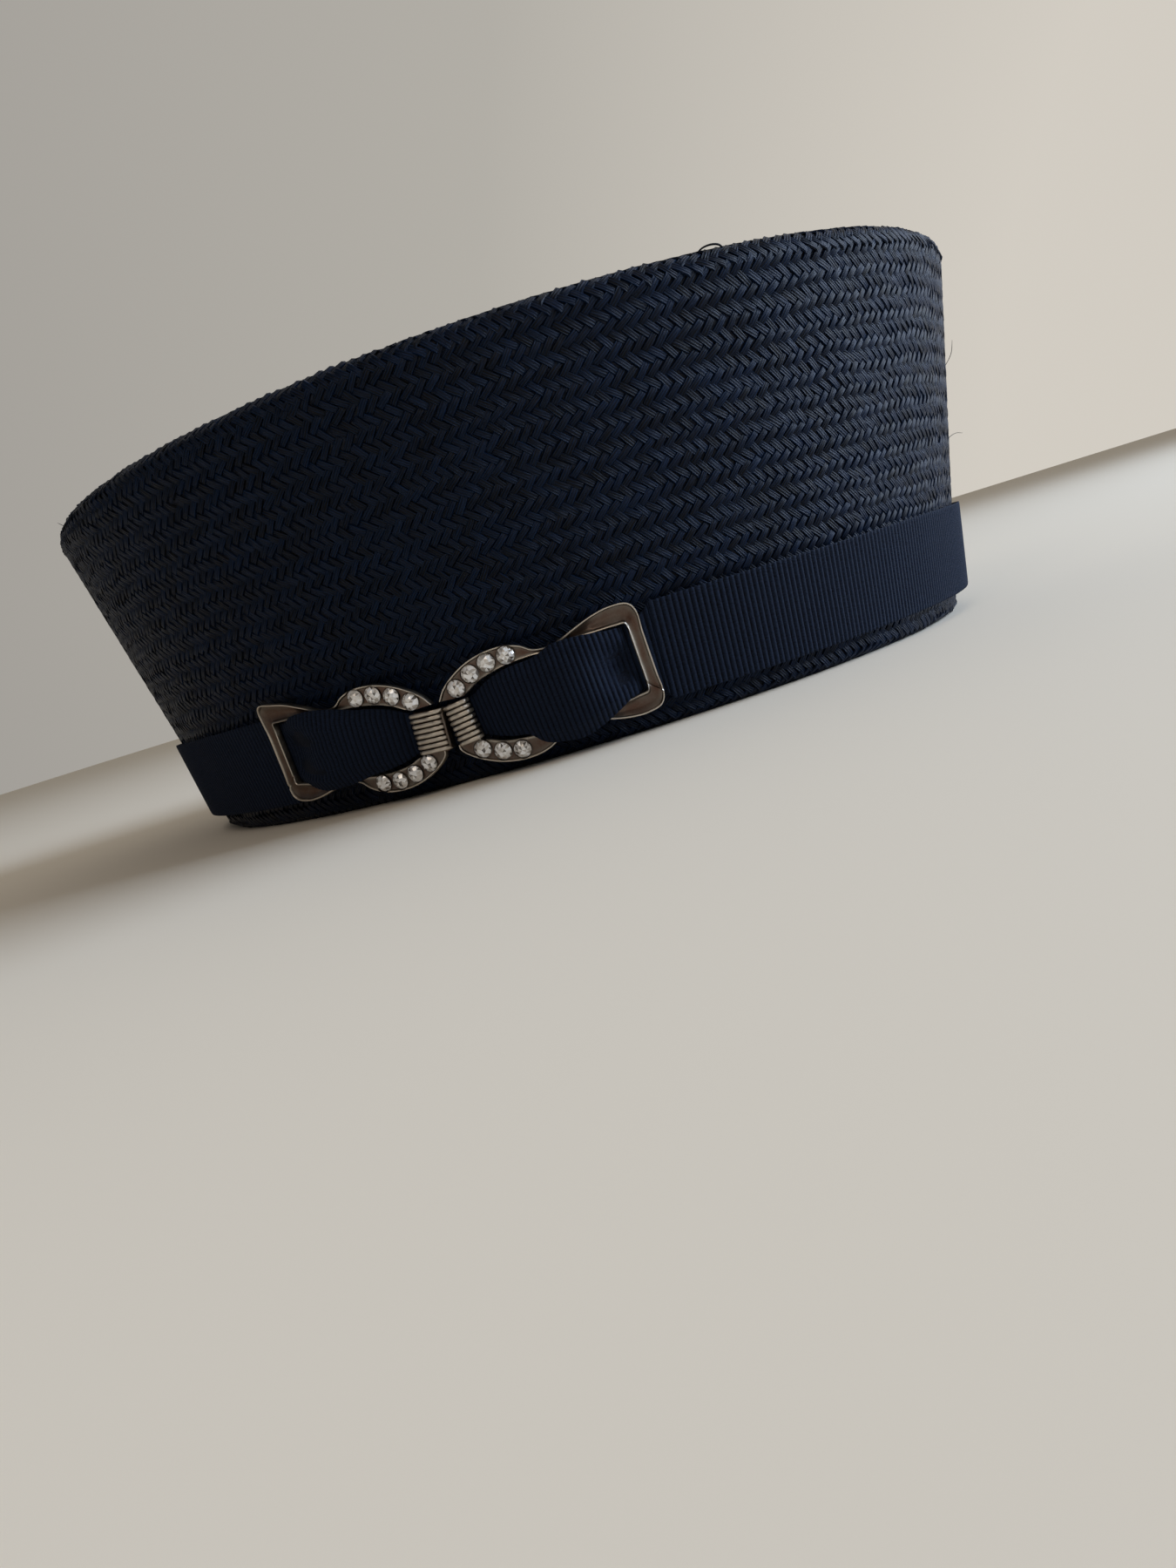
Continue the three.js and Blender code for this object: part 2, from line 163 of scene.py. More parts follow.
# The ribbon inside the slides: share of the slide's length, lower and upper edge in the front
# and in the rear slide as shares of its half width, and lift as a share of the puff.
RIBBON_ROWS = (
    (0.0, -0.345, 0.345, -0.345, 0.345, 0.0),
    (0.13, -0.345, 0.345, -0.345, 0.345, 0.0),
    (0.163, -0.398, 0.381, -0.39, 0.38, 0.12),
    (0.222, -0.487, 0.478, -0.48, 0.48, 0.3),
    (0.296, -0.566, 0.566, -0.55, 0.56, 0.5),
    (0.346, -0.61, 0.6, -0.59, 0.59, 0.6),
    (0.4, -0.805, 0.611, -0.61, 0.61, 0.69),
    (0.494, -0.92, 0.62, -0.7, 0.69, 0.84),
    (0.593, -0.965, 0.72, -0.76, 0.74, 0.96),
    (0.704, -0.858, 0.7, -0.78, 0.74, 1.0),
    (0.79, -0.726, 0.646, -0.7, 0.69, 0.92),
    (0.85, -0.63, 0.6, -0.62, 0.6, 0.74),
    (0.888, -0.6, 0.585, -0.6, 0.585, 0.56),
    (0.909, -0.58, 0.575, -0.58, 0.575, 0.3),
    (0.922, -0.57, 0.57, -0.57, 0.57, 0.0),
)


def linear(hex_colour):
    """An sRGB hex colour as the linear colour that a shader takes."""
    channels = [int(hex_colour[i : i + 2], 16) / 255 for i in (1, 3, 5)]
    return [c / 12.92 if c <= 0.04045 else ((c + 0.055) / 1.055) ** 2.4 for c in channels] + [1.0]


def feed(tree, node, inputs):
    """Sets a node's inputs to values, or links them to sockets or other nodes."""
    for name, value in inputs.items():
        if isinstance(value, bpy.types.Node):
            value = value.outputs[0]
        if isinstance(value, bpy.types.NodeSocket):
            tree.links.new(value, node.inputs[name])
        else:
            node.inputs[name].default_value = value
    return node


def add(tree, kind, inputs=None, **settings):
    """A node with its settings and its inputs."""
    node = tree.nodes.new(kind)
    for name, value in settings.items():
        setattr(node, name, value)
    return feed(tree, node, inputs or {})


def set_stops(ramp, stops):
    """Gives a colour ramp its stops, each a place and an sRGB hex colour."""
    elements = ramp.color_ramp.elements
    for element, (place, colour) in zip(elements, (stops[0], stops[-1])):
        element.position = place
        element.color = linear(colour)
    for place, colour in stops[1:-1]:
        elements.new(place).color = linear(colour)


def smoothstep(low, high, value):
    share = min(max((value - low) / (high - low), 0.0), 1.0)
    return share * share * (3 - 2 * share)


def wall_offset(z):
    """How far the outside of the wall stands out from the rim's oval at a height."""
    return CROWN_FLARE * (z - RIM_ROLL) / (CROWN_HEIGHT - TOP_ROUNDING - RIM_ROLL)


def oval_point(angle, offset, z):
    x = (RIM_HALF_LENGTH + offset) * math.cos(angle)
    y = (RIM_HALF_WIDTH + offset) * math.sin(angle)
    return Vector((x, y, z))


def arc_table(reach=70.0, step=0.1):
    """Angles on the oval at even arc lengths forward of the middle of the right side."""
    a = RIM_HALF_LENGTH + wall_offset(SLIDE_LEVEL)
    b = RIM_HALF_WIDTH + wall_offset(SLIDE_LEVEL)
    sides = []
    for sense in (-1, 1):
        angle = -math.pi / 2
        angles = [angle]
        for _ in range(int(reach / step)):
            angle += sense * step / math.hypot(a * math.sin(angle), b * math.cos(angle))
            angles.append(angle)
        sides.append(angles)
    angles = sides[0][:0:-1] + sides[1]
    arcs = [(i - len(sides[0]) + 1) * step for i in range(len(angles))]
    return arcs, angles


ARCS, ANGLES = arc_table()


def angle_at(arc):
    return float(np.interp(arc, ARCS, ANGLES))


def ribbon_face(z):
    """How far the ribbon's outer face stands off the crown at a height."""
    share = (z - RIBBON_LOW) / (RIBBON_HIGH - RIBBON_LOW)
    return RIBBON_GAP_LOW + (RIBBON_GAP_HIGH - RIBBON_GAP_LOW) * share + RIBBON_SPACE


def seat(slide, along, across, out):
    """A point of a slide: along and across its middle line, and out from the plain ribbon's face."""
    tilt = math.radians(slide["tilt"])
    arc = slide["start"] + slide["sense"] * (along * math.cos(tilt) - across * math.sin(tilt))
    z = SLIDE_LEVEL + along * math.sin(tilt) + across * math.cos(tilt)
    return oval_point(angle_at(arc), wall_offset(z) + ribbon_face(z) + out, z)


def in_scene(name, data):
    """A new object in the scene that shows some data."""
    shown = bpy.data.objects.new(name, data)
    bpy.context.scene.collection.objects.link(shown)
    return shown


def make_piece(name, points, faces, material=None, smooth=True):
    """A mesh object from points in millimetres."""
    mesh = bpy.data.meshes.new(name)
    mesh.from_pydata([Vector(p) * MM for p in points], [], faces)
    if smooth:
        mesh.shade_smooth()
    else:
        mesh.shade_flat()
    if material:
        mesh.materials.append(material)
    return in_scene(name, mesh)


def store(piece, name, values, domain="POINT"):
    layer = piece.data.attributes.new(name, "FLOAT", domain)
    layer.data.foreach_set("value", [float(v) for v in values])


def map_surface(piece, name, places):
    """A UV map from one pair of numbers for each corner of each face."""
    layer = piece.data.uv_layers.new(name=name)
    layer.data.foreach_set("uv", [number for place in places for number in place])


def turn_outward(piece):
    tool = bmesh.new()
    tool.from_mesh(piece.data)
    bmesh.ops.recalc_face_normals(tool, faces=tool.faces)
    tool.to_mesh(piece.data)
    tool.free()


def grow(piece, tree, sizes):
    """The plain mesh that a tree of geometry nodes makes from a piece, which it takes the place of."""
    modifier = piece.modifiers.new(tree.name, "NODES")
    modifier.node_group = tree
    sockets = {item.name: item.identifier for item in tree.interface.items_tree if item.in_out == "INPUT"}
    for name, value in sizes.items():
        modifier[sockets[name]] = value
    graph = bpy.context.evaluated_depsgraph_get()
    graph.update()
    mesh = bpy.data.meshes.new_from_object(piece.evaluated_get(graph), depsgraph=graph)
    piece.modifiers.clear()
    name = piece.name
    bpy.data.objects.remove(piece)
    return in_scene(name, mesh)


def new_tree(name, inputs):
    """A geometry node tree with named inputs, its input node and its output node."""
    tree = bpy.data.node_groups.new(name, "GeometryNodeTree")
    tree.interface.new_socket("Geometry", in_out="INPUT", socket_type="NodeSocketGeometry")
    tree.interface.new_socket("Geometry", in_out="OUTPUT", socket_type="NodeSocketGeometry")
    for label, kind in inputs.items():
        tree.interface.new_socket(label, in_out="INPUT", socket_type=kind)
    return tree, tree.nodes.new("NodeGroupInput"), tree.nodes.new("NodeGroupOutput")


def new_material(name):
    material = bpy.data.materials.new(name)
    material.use_nodes = True
    tree = material.node_tree
    return material, tree, tree.nodes["Principled BSDF"]


def dyed_straw():
    """Dyed and stiffened toquilla straw: split fibres with a soft waxy shine along each strand."""
    material, tree, face = new_material("dyed_toquilla_straw")
    tone = add(tree, "ShaderNodeAttribute", attribute_name="tone").outputs["Fac"]
    place = add(tree, "ShaderNodeUVMap", uv_map="strand")
    # The map runs from 0 to 1 across a strand, so the fibres are about 0.24 mm wide.
    spread = add(tree, VECTOR, {0: place, 1: (0.9, 6.5, 0.0)}, operation="MULTIPLY")
    jump = add(tree, "ShaderNodeCombineXYZ", {"X": tone, "Y": tone, "Z": 0.0})
    far = add(tree, VECTOR, {0: jump, 1: (57.0, 31.0, 0.0)}, operation="MULTIPLY")
    at = add(tree, VECTOR, {0: spread, 1: far}, operation="ADD")
    fibre = add(tree, NOISE, {"Vector": at, "Scale": 1.0, "Detail": 3.0, "Roughness": 0.65}).outputs["Fac"]
    breadth = add(tree, "ShaderNodeSeparateXYZ", {"Vector": place}).outputs["Y"]
    # Each strand shows three splits that wander a little, with painted shade along each split and lighter
    # fibres between.
    split = add(tree, MATH, {0: breadth, 1: 3 * math.tau, 2: 0.0}, operation="MULTIPLY_ADD")
    wander = add(tree, MATH, {0: fibre, 1: 5.0, 2: split}, operation="MULTIPLY_ADD")
    splits = add(tree, MATH, {0: wander}, operation="COSINE")
    painted_split_shade = add(tree, MATH, {0: splits, 1: 0.16, 2: -0.25}, operation="MULTIPLY_ADD")
    mixed = add(tree, MATH, {0: fibre, 1: 1.25, 2: painted_split_shade}, operation="MULTIPLY_ADD")
    shade = add(tree, MATH, {0: tone, 1: 0.28, 2: mixed}, operation="MULTIPLY_ADD")
    ramp = add(tree, "ShaderNodeValToRGB", {"Fac": shade})
    set_stops(ramp, ((0.2, "#010204"), (0.9, "#081d38")))
    rough = add(tree, "ShaderNodeMapRange", {"Value": fibre, "To Min": 0.62, "To Max": 0.26})
    off_middle = add(tree, MATH, {0: breadth, 1: 2.0, 2: -1.0}, operation="MULTIPLY_ADD")
    rounding = add(tree, MATH, {0: off_middle, 1: off_middle}, operation="MULTIPLY")
    ridges = add(tree, MATH, {0: splits, 1: 0.35, 2: fibre}, operation="MULTIPLY_ADD")
    height = add(tree, MATH, {0: rounding, 1: -0.7, 2: ridges}, operation="MULTIPLY_ADD")
    bump = add(tree, "ShaderNodeBump", {"Strength": 0.9, "Distance": 0.00014, "Height": height})
    feed(tree, face, {"Base Color": ramp, "Roughness": rough, "Normal": bump, "Specular IOR Level": 0.15})
    return material


def straw_lining():
    """The same straw seen from inside: flatter, duller, with its rows of slanted strands."""
    material, tree, face = new_material("straw_inside")
    # One unit of the map is a row or a column of strands, about 2.2 mm.
    place = add(tree, "ShaderNodeUVMap", uv_map="rows")
    along, up, _ = add(tree, "ShaderNodeSeparateXYZ", {"Vector": place}).outputs
    row = add(tree, MATH, {0: up}, operation="FLOOR")
    odd = add(tree, MATH, {0: row, 1: 2.0}, operation="MODULO")
    sense = add(tree, MATH, {0: odd, 1: 2.0, 2: -1.0}, operation="MULTIPLY_ADD")
    height = add(tree, MATH, {0: up}, operation="FRACT")
    lean = add(tree, MATH, {0: height, 1: sense}, operation="MULTIPLY")
    slant = add(tree, MATH, {0: along, 1: lean}, operation="ADD")
    turn = add(tree, MATH, {0: slant, 1: math.tau}, operation="MULTIPLY")
    strand = add(tree, MATH, {0: turn}, operation="COSINE")
    edge = add(tree, MATH, {0: height, 1: 1.0}, operation="PINGPONG")
    rough = add(tree, NOISE, {"Vector": place, "Scale": 3.0, "Detail": 3.0}).outputs["Fac"]
    relief = add(tree, MATH, {0: strand, 1: 0.5, 2: rough}, operation="MULTIPLY_ADD")
    rise = add(tree, MATH, {0: edge, 1: 0.4, 2: relief}, operation="MULTIPLY_ADD")
    shade = add(tree, "ShaderNodeMapRange", {"Value": rise, "From Min": -0.2, "From Max": 1.2})
    ramp = add(tree, "ShaderNodeValToRGB", {"Fac": shade})
    set_stops(ramp, ((0.0, "#05070c"), (1.0, "#171e2e")))
    bump = add(tree, "ShaderNodeBump", {"Strength": 0.8, "Distance": 0.0003, "Height": rise})
    feed(tree, face, {"Base Color": ramp, "Normal": bump, "Roughness": 0.62, "Specular IOR Level": 0.2})
    return material


def ribbed_grosgrain():
    """Rayon grosgrain over cotton cords: matt, nearly black navy, with a faint sheen on each rib."""
    material, tree, face = new_material("navy_grosgrain")
    rib = add(tree, "ShaderNodeAttribute", attribute_name="rib").outputs["Fac"]
    place = add(tree, "ShaderNodeUVMap", uv_map="cloth")
    # One unit of the map is a millimetre: warp threads about 0.15 mm apart, drawn at 0.3 mm to show.
    spread = add(tree, VECTOR, {0: place, 1: (1.5, 3.4, 0.0)}, operation="MULTIPLY")
    noise = {"Vector": spread, "Scale": 1.0, "Detail": 3.0, "Roughness": 0.75}
    thread = add(tree, NOISE, noise).outputs["Fac"]
    cloud = add(tree, NOISE, {"Vector": place, "Scale": 0.12, "Detail": 2.0}).outputs["Fac"]
    # Grooves between the cords are painted dark and the crests light: painted shade and painted highlight
    # over the real relief.
    painted_rib_shading = add(tree, MATH, {0: rib, 1: 0.52, 2: -0.52}, operation="MULTIPLY_ADD")
    threads = add(tree, MATH, {0: thread, 1: 1.5, 2: painted_rib_shading}, operation="MULTIPLY_ADD")
    shade = add(tree, MATH, {0: cloud, 1: 0.1, 2: threads}, operation="MULTIPLY_ADD")
    ramp = add(tree, "ShaderNodeValToRGB", {"Fac": shade})
    set_stops(ramp, ((0.15, "#010206"), (1.0, "#172338")))
    bump = add(tree, "ShaderNodeBump", {"Strength": 0.9, "Distance": 0.0003, "Height": thread})
    feed(tree, face, {"Base Color": ramp, "Normal": bump, "Roughness": 0.7, "Specular IOR Level": 0.12})
    feed(tree, face, {"Sheen Weight": 0.03, "Sheen Roughness": 0.4, "Sheen Tint": linear("#8f9bbd")})
    return material


def aged_gunmetal():
    """Gunmetal plate on cast alloy: warm grey satin, browned in the hollows by tarnish and painted shade, and
    bright on raised edges by rubbing and painted highlight.
    """
    material, tree, face = new_material("aged_gunmetal")
    worn = add(tree, "ShaderNodeAttribute", attribute_name="worn").outputs["Fac"]
    place = add(tree, "ShaderNodeTexCoord").outputs["Object"]
    # Tarnish in patches of about 4 mm, and pitting of about 0.4 mm.
    patch = add(tree, NOISE, {"Vector": place, "Scale": 240.0, "Detail": 3.0}).outputs["Fac"]
    pits = add(tree, NOISE, {"Vector": place, "Scale": 2600.0, "Detail": 2.0}).outputs["Fac"]
    # Raised lips and wire crests are painted bright, dish floors and the barrel's core dark: rubbing and
    # tarnish, with painted highlight and painted shade.
    wear_and_painted_light_share = add(tree, MATH, {0: worn, 1: 0.7, 2: 0.0}, operation="MULTIPLY_ADD")
    tarnish = add(tree, MATH, {0: patch, 1: 0.45, 2: wear_and_painted_light_share}, operation="MULTIPLY_ADD")
    shade = add(tree, MATH, {0: pits, 1: 0.12, 2: tarnish}, operation="MULTIPLY_ADD")
    ramp = add(tree, "ShaderNodeValToRGB", {"Fac": shade})
    set_stops(ramp, ((0.2, "#5c453b"), (0.5, "#777067"), (0.9, "#cfc5b7")))
    spans = {"From Min": 0.3, "From Max": 0.7, "To Min": 0.32, "To Max": 0.5}
    rough = add(tree, "ShaderNodeMapRange", {"Value": patch, **spans})
    bump = add(tree, "ShaderNodeBump", {"Strength": 0.25, "Distance": 0.00008, "Height": pits})
    feed(tree, face, {"Base Color": ramp, "Roughness": rough, "Normal": bump, "Metallic": 1.0})
    return material


def foiled_crystal():
    """Cut lead crystal over silver foil: its cut faces are painted from white to dark at random, a painted
    reflection standing in for each one mirroring the room.
    """
    material, tree, face = new_material("foiled_crystal")
    facet = add(tree, "ShaderNodeAttribute", attribute_name="facet").outputs["Fac"]
    ramp = add(tree, "ShaderNodeValToRGB", {"Fac": facet})
    set_stops(ramp, ((0.0, "#4c443e"), (0.35, "#d6cfc6"), (0.75, "#ffffff")))
    feed(tree, face, {"Base Color": ramp, "Metallic": 0.2, "Roughness": 0.15})
    feed(tree, face, {"Coat Weight": 1.0, "Coat Roughness": 0.02, "Coat IOR": 1.58})
    return material


def ovals(line):
    """Half length, half width and height for each offset from the rim's oval and height in a line."""
    return [(RIM_HALF_LENGTH + offset, RIM_HALF_WIDTH + offset, z) for offset, z in line]


def tip_ovals(level, count):
    """Ovals that shrink over the domed tip, from its rounded edge to its middle."""
    a = RIM_HALF_LENGTH + CROWN_FLARE - TOP_ROUNDING
    b = RIM_HALF_WIDTH + CROWN_FLARE - TOP_ROUNDING
    shares = [1 - i / count for i in range(1, count + 1)]
    return [(a * share, b * share, level + TIP_RISE * (1 - share * share)) for share in shares]


def crown_line(depth=0.0):
    """Points of the crown's outside from the edge of the rim's flat to the middle of the tip, as half
    length, half width and height. Depth lies under the face of the straw."""
    top = CROWN_HEIGHT - TOP_ROUNDING
    line = [(-RIM_ROLL - RIM_FLAT, depth)]
    for i in range(13):
        turn = math.radians(-90 + 90 * i / 12)
        radius = RIM_ROLL - depth
        line.append((-RIM_ROLL + radius * math.cos(turn), RIM_ROLL + radius * math.sin(turn)))
    for i in range(1, 40):
        z = RIM_ROLL + (top - RIM_ROLL) * i / 40
        line.append((wall_offset(z) - depth, z))
    for i in range(13):
        turn = math.radians(90 * i / 12)
        radius = TOP_ROUNDING - depth
        line.append((CROWN_FLARE - TOP_ROUNDING + radius * math.cos(turn), top + radius * math.sin(turn)))
    return np.array(ovals(line) + tip_ovals(CROWN_HEIGHT - depth, 60))


def weave_rows():
    """Each row of the weave: where it runs, the step to the next row, its count of strands and its lean."""
    line = crown_line()
    mean = np.column_stack([(line[:, 0] + line[:, 1]) / 2, line[:, 2]])
    length = np.concatenate([[0], np.cumsum(np.linalg.norm(np.diff(mean, axis=0), axis=1))])
    total = round(length[-1] / ROW_PITCH)
    pitch = length[-1] / total

    def at(place):
        return np.array([np.interp(place, length, line[:, k]) for k in range(3)])

    rows = []
    count = WALL_COLUMNS
    for i in range(total):
        place = (i + 0.5) * pitch
        here = at(place)
        step = at(min(place + pitch / 2, length[-1])) - at(place - pitch / 2)
        around = math.tau * math.sqrt((here[0] ** 2 + here[1] ** 2) / 2)
        while around / count < NARROWEST_CELL and count > 6:
            count = 2 * round(count * 3 / 8)
        rows.append((here, step, count, i % 2))
    return rows


def strand_shape():
    """One visible length of straw: flat, softly rounded, its ends dipping under the strands it passes."""
    points = []
    for along, dip in STRAND_LENGTHWISE:
        for across, fall in STRAND_CROSSWISE:
            points.append((2 * STRAND_WIDTH * along, STRAND_WIDTH * across, dip + fall))
    wide = len(STRAND_CROSSWISE)
    faces = []
    for i in range(len(STRAND_LENGTHWISE) - 1):
        for j in range(wide - 1):
            first = i * wide + j
            faces.append((first, first + wide, first + wide + 1, first + 1))
    shape = make_piece("strand_shape", points, faces)
    places = []
    for face in faces:
        for corner in face:
            along, across = STRAND_LENGTHWISE[corner // wide][0], STRAND_CROSSWISE[corner % wide][0]
            places.append((along + 0.5, across + 0.5))
    map_surface(shape, "strand", places)
    # The two ridges along a strand stay crisp.
    crisp = []
    for edge in shape.data.edges:
        one, two = (vertex % wide for vertex in edge.vertices)
        crisp.append(one == two and 0 < one < wide - 1)
    sharp = shape.data.attributes.new("sharp_edge", "BOOLEAN", "EDGE")
    sharp.data.foreach_set("value", crisp)
    return shape


def weave_tree():
    """Lays strands in rows round the crown: each row leans the other way and starts half a strand on."""
    tree, start, end = new_tree(
        "straw_weave",
        {
            "Strand": "NodeSocketObject",
            "Straw": "NodeSocketMaterial",
            "Most in a row": "NodeSocketInt",
            "Strand width": "NodeSocketFloat",
            "Drift": "NodeSocketFloat",
            "Unevenness": "NodeSocketFloat",
            "Seed": "NodeSocketInt",
        },
    )
    rows = start.outputs["Geometry"]
    most = start.outputs["Most in a row"]
    size = add(tree, "GeometryNodeAttributeDomainSize", {"Geometry": rows}, component="MESH")
    total = add(tree, MATH, {0: size.outputs["Point Count"], 1: most}, operation="MULTIPLY")
    points = add(tree, "GeometryNodePoints", {"Count": total})
    index = add(tree, "GeometryNodeInputIndex")
    share = add(tree, MATH, {0: index, 1: most}, operation="DIVIDE")
    nudged = add(tree, MATH, {0: share, 1: 0.0005}, operation="ADD")
    row = add(tree, MATH, {0: nudged}, operation="FLOOR")
    before = add(tree, MATH, {0: row, 1: most}, operation="MULTIPLY")
    column = add(tree, MATH, {0: index, 1: before}, operation="SUBTRACT")
    # What each row's own point says: its half length, half width and height, and what it stores.
    said = [("FLOAT_VECTOR", add(tree, "GeometryNodeInputPosition"))]
    for name, kind in (("step", "FLOAT_VECTOR"), ("count", "FLOAT"), ("lean", "FLOAT")):
        value = add(tree, "GeometryNodeInputNamedAttribute", {"Name": name}, data_type=kind)
        said.append((kind, value.outputs["Attribute"]))
    place, step, count, lean = (
        add(
            tree,
            "GeometryNodeSampleIndex",
            {"Geometry": rows, "Value": value, "Index": row},
            data_type=kind,
            domain="POINT",
        )
        for kind, value in said
    )
    a, b, z = add(tree, "ShaderNodeSeparateXYZ", {0: place}).outputs
    step_a, step_b, step_z = add(tree, "ShaderNodeSeparateXYZ", {0: step}).outputs
    # Even spacing round an oval: the angle runs ahead of the share of the way round.
    longer = add(tree, MATH, {0: a, 1: b}, operation="SUBTRACT")
    both = add(tree, MATH, {0: a, 1: b}, operation="ADD")
    oval = add(tree, MATH, {0: longer, 1: both}, operation="DIVIDE")
    half = add(tree, MATH, {0: oval, 1: 0.5}, operation="MULTIPLY")
    placed = add(tree, MATH, {0: lean, 1: 0.5, 2: column}, operation="MULTIPLY_ADD")
    slot_angle = add(tree, MATH, {0: math.tau, 1: count}, operation="DIVIDE")
    even = add(tree, MATH, {0: placed, 1: slot_angle}, operation="MULTIPLY")
    twice = add(tree, MATH, {0: even, 1: 2.0}, operation="MULTIPLY")
    swing = add(tree, MATH, {0: twice}, operation="SINE")
    angle = add(tree, MATH, {0: half, 1: swing, 2: even}, operation="MULTIPLY_ADD")
    cosine = add(tree, MATH, {0: angle}, operation="COSINE")
    sine = add(tree, MATH, {0: angle}, operation="SINE")
    cos_twice = add(tree, MATH, {0: twice}, operation="COSINE")
    stretch = add(tree, MATH, {0: oval, 1: cos_twice, 2: 1.0}, operation="MULTIPLY_ADD")
    x, y, x_back, y_round, x_up, y_up, spin = (
        add(tree, MATH, {0: first, 1: second}, operation="MULTIPLY")
        for first, second in (
            (a, cosine),
            (b, sine),
            (a, sine),
            (b, cosine),
            (step_a, cosine),
            (step_b, sine),
            (slot_angle, stretch),
        )
    )
    smooth_place = add(tree, "ShaderNodeCombineXYZ", {"X": x, "Y": y, "Z": z})
    x_round = add(tree, MATH, {0: x_back, 1: -1.0}, operation="MULTIPLY")
    round_way = add(tree, "ShaderNodeCombineXYZ", {"X": x_round, "Y": y_round, "Z": 0.0})
    up_way = add(tree, "ShaderNodeCombineXYZ", {"X": x_up, "Y": y_up, "Z": step_z})
    cell = add(tree, VECTOR, {0: round_way, "Scale": spin}, operation="SCALE")
    sense = add(tree, MATH, {0: lean, 1: 2.0, 2: -1.0}, operation="MULTIPLY_ADD")
    sideways = add(tree, VECTOR, {0: cell, "Scale": sense}, operation="SCALE")
    run = add(tree, VECTOR, {0: sideways, 1: up_way}, operation="ADD")
    cell_length, up_length, run_length = (
        add(tree, VECTOR, {0: way}, operation="LENGTH").outputs["Value"] for way in (cell, up_way, run)
    )
    outward = add(tree, VECTOR, {0: round_way, 1: up_way}, operation="CROSS_PRODUCT")
    facing = add(tree, VECTOR, {0: outward}, operation="NORMALIZE")
    turned = add(
        tree,
        "FunctionNodeAxesToRotation",
        {"Primary Axis": facing, "Secondary Axis": run},
        primary_axis="Z",
        secondary_axis="X",
    )
    # Each strand's own luck: how it turns about three ways, its length and width, and whether it has sunk.
    draws = []
    for step_on, low, high in (
        (1, -0.09, 0.09),
        (2, -0.05, 0.05),
        (3, -0.11, 0.11),
        (4, 0.97, 1.06),
        (5, 0.88, 1.04),
        (8, 0.0, 1.0),
    ):
        seed = add(tree, MATH, {0: start.outputs["Seed"], 1: step_on}, operation="ADD")
        draws.append(add(tree, "FunctionNodeRandomValue", {2: low, 3: high, 7: index, 8: seed}).outputs[1])
    tilts = [
        add(tree, MATH, {0: draw, 1: start.outputs["Unevenness"]}, operation="MULTIPLY") for draw in draws[:3]
    ]
    longer_by, wider_by, sinking = draws[3:]
    local = add(tree, "ShaderNodeCombineXYZ", dict(zip("XYZ", tilts)))
    local_turn = add(tree, "FunctionNodeEulerToRotation", {0: local})
    both_turns = {"Rotation": turned, "Rotate By": local_turn}
    rotation = add(tree, "FunctionNodeRotateRotation", both_turns, rotation_space="LOCAL")
    # Strands drift together over about 12 mm, as the weaver's hand does.
    drift = add(tree, NOISE, {"Vector": smooth_place, "Scale": 80.0, "Detail": 1.0})
    centred = add(tree, VECTOR, {0: drift.outputs["Color"], 1: (0.5, 0.5, 0.5)}, operation="SUBTRACT")
    drifts = add(tree, "ShaderNodeSeparateXYZ", {0: centred})
    shift_round, shift_up = (
        add(
            tree,
            VECTOR,
            {0: way, "Scale": add(tree, MATH, {0: amount, 1: start.outputs["Drift"]}, operation="MULTIPLY")},
            operation="SCALE",
        )
        for way, amount in ((cell, drifts.outputs[0]), (up_way, drifts.outputs[1]))
    )
    shift = add(tree, VECTOR, {0: shift_round, 1: shift_up}, operation="ADD")
    position = add(tree, VECTOR, {0: smooth_place, 1: shift}, operation="ADD")
    set_points = add(tree, "GeometryNodeSetPosition", {"Geometry": points, "Position": position})
    width = start.outputs["Strand width"]
    two_widths = add(tree, MATH, {0: width, 1: 2.0}, operation="MULTIPLY")
    stretch_x = add(tree, MATH, {0: run_length, 1: two_widths}, operation="DIVIDE")
    patch = add(tree, MATH, {0: cell_length, 1: up_length}, operation="MULTIPLY")
    across = add(tree, MATH, {0: patch, 1: run_length}, operation="DIVIDE")
    stretch_y = add(tree, MATH, {0: across, 1: width}, operation="DIVIDE")
    scale_x = add(tree, MATH, {0: stretch_x, 1: longer_by}, operation="MULTIPLY")
    scale_y = add(tree, MATH, {0: stretch_y, 1: wider_by}, operation="MULTIPLY")
    scale = add(tree, "ShaderNodeCombineXYZ", {"X": scale_x, "Y": scale_y, "Z": 1.0})
    last = add(tree, MATH, {0: count, 1: 0.9999}, operation="MULTIPLY")
    used = add(tree, MATH, {0: column, 1: last}, operation="LESS_THAN")
    # Here and there a strand has sunk out of sight and leaves a small dark hole.
    sunk = add(tree, MATH, {0: sinking, 1: SUNK_SHARE}, operation="LESS_THAN")
    shown = add(tree, MATH, {0: used, 1: sunk}, operation="SUBTRACT")
    strand = {"Object": start.outputs["Strand"]}
    shape = add(tree, "GeometryNodeObjectInfo", strand, transform_space="ORIGINAL")
    strands = add(
        tree,
        "GeometryNodeInstanceOnPoints",
        {
            "Points": set_points,
            "Selection": shown,
            "Instance": shape.outputs["Geometry"],
            "Rotation": rotation,
            "Scale": scale,
        },
    )
    seed = add(tree, MATH, {0: start.outputs["Seed"], 1: 6}, operation="ADD")
    tone = add(tree, "FunctionNodeRandomValue", {2: 0.0, 3: 1.0, 8: seed})
    marked = add(
        tree,
        "GeometryNodeStoreNamedAttribute",
        {"Geometry": strands, "Name": "tone", "Value": tone.outputs[1]},
        data_type="FLOAT",
        domain="INSTANCE",
    )
    real = add(tree, "GeometryNodeRealizeInstances", {"Geometry": marked})
    smooth = add(tree, "GeometryNodeSetShadeSmooth", {"Geometry": real, "Shade Smooth": True})
    finished = add(tree, "GeometryNodeSetMaterial", {"Geometry": smooth, "Material": start.outputs["Straw"]})
    feed(tree, end, {"Geometry": finished})
    return tree


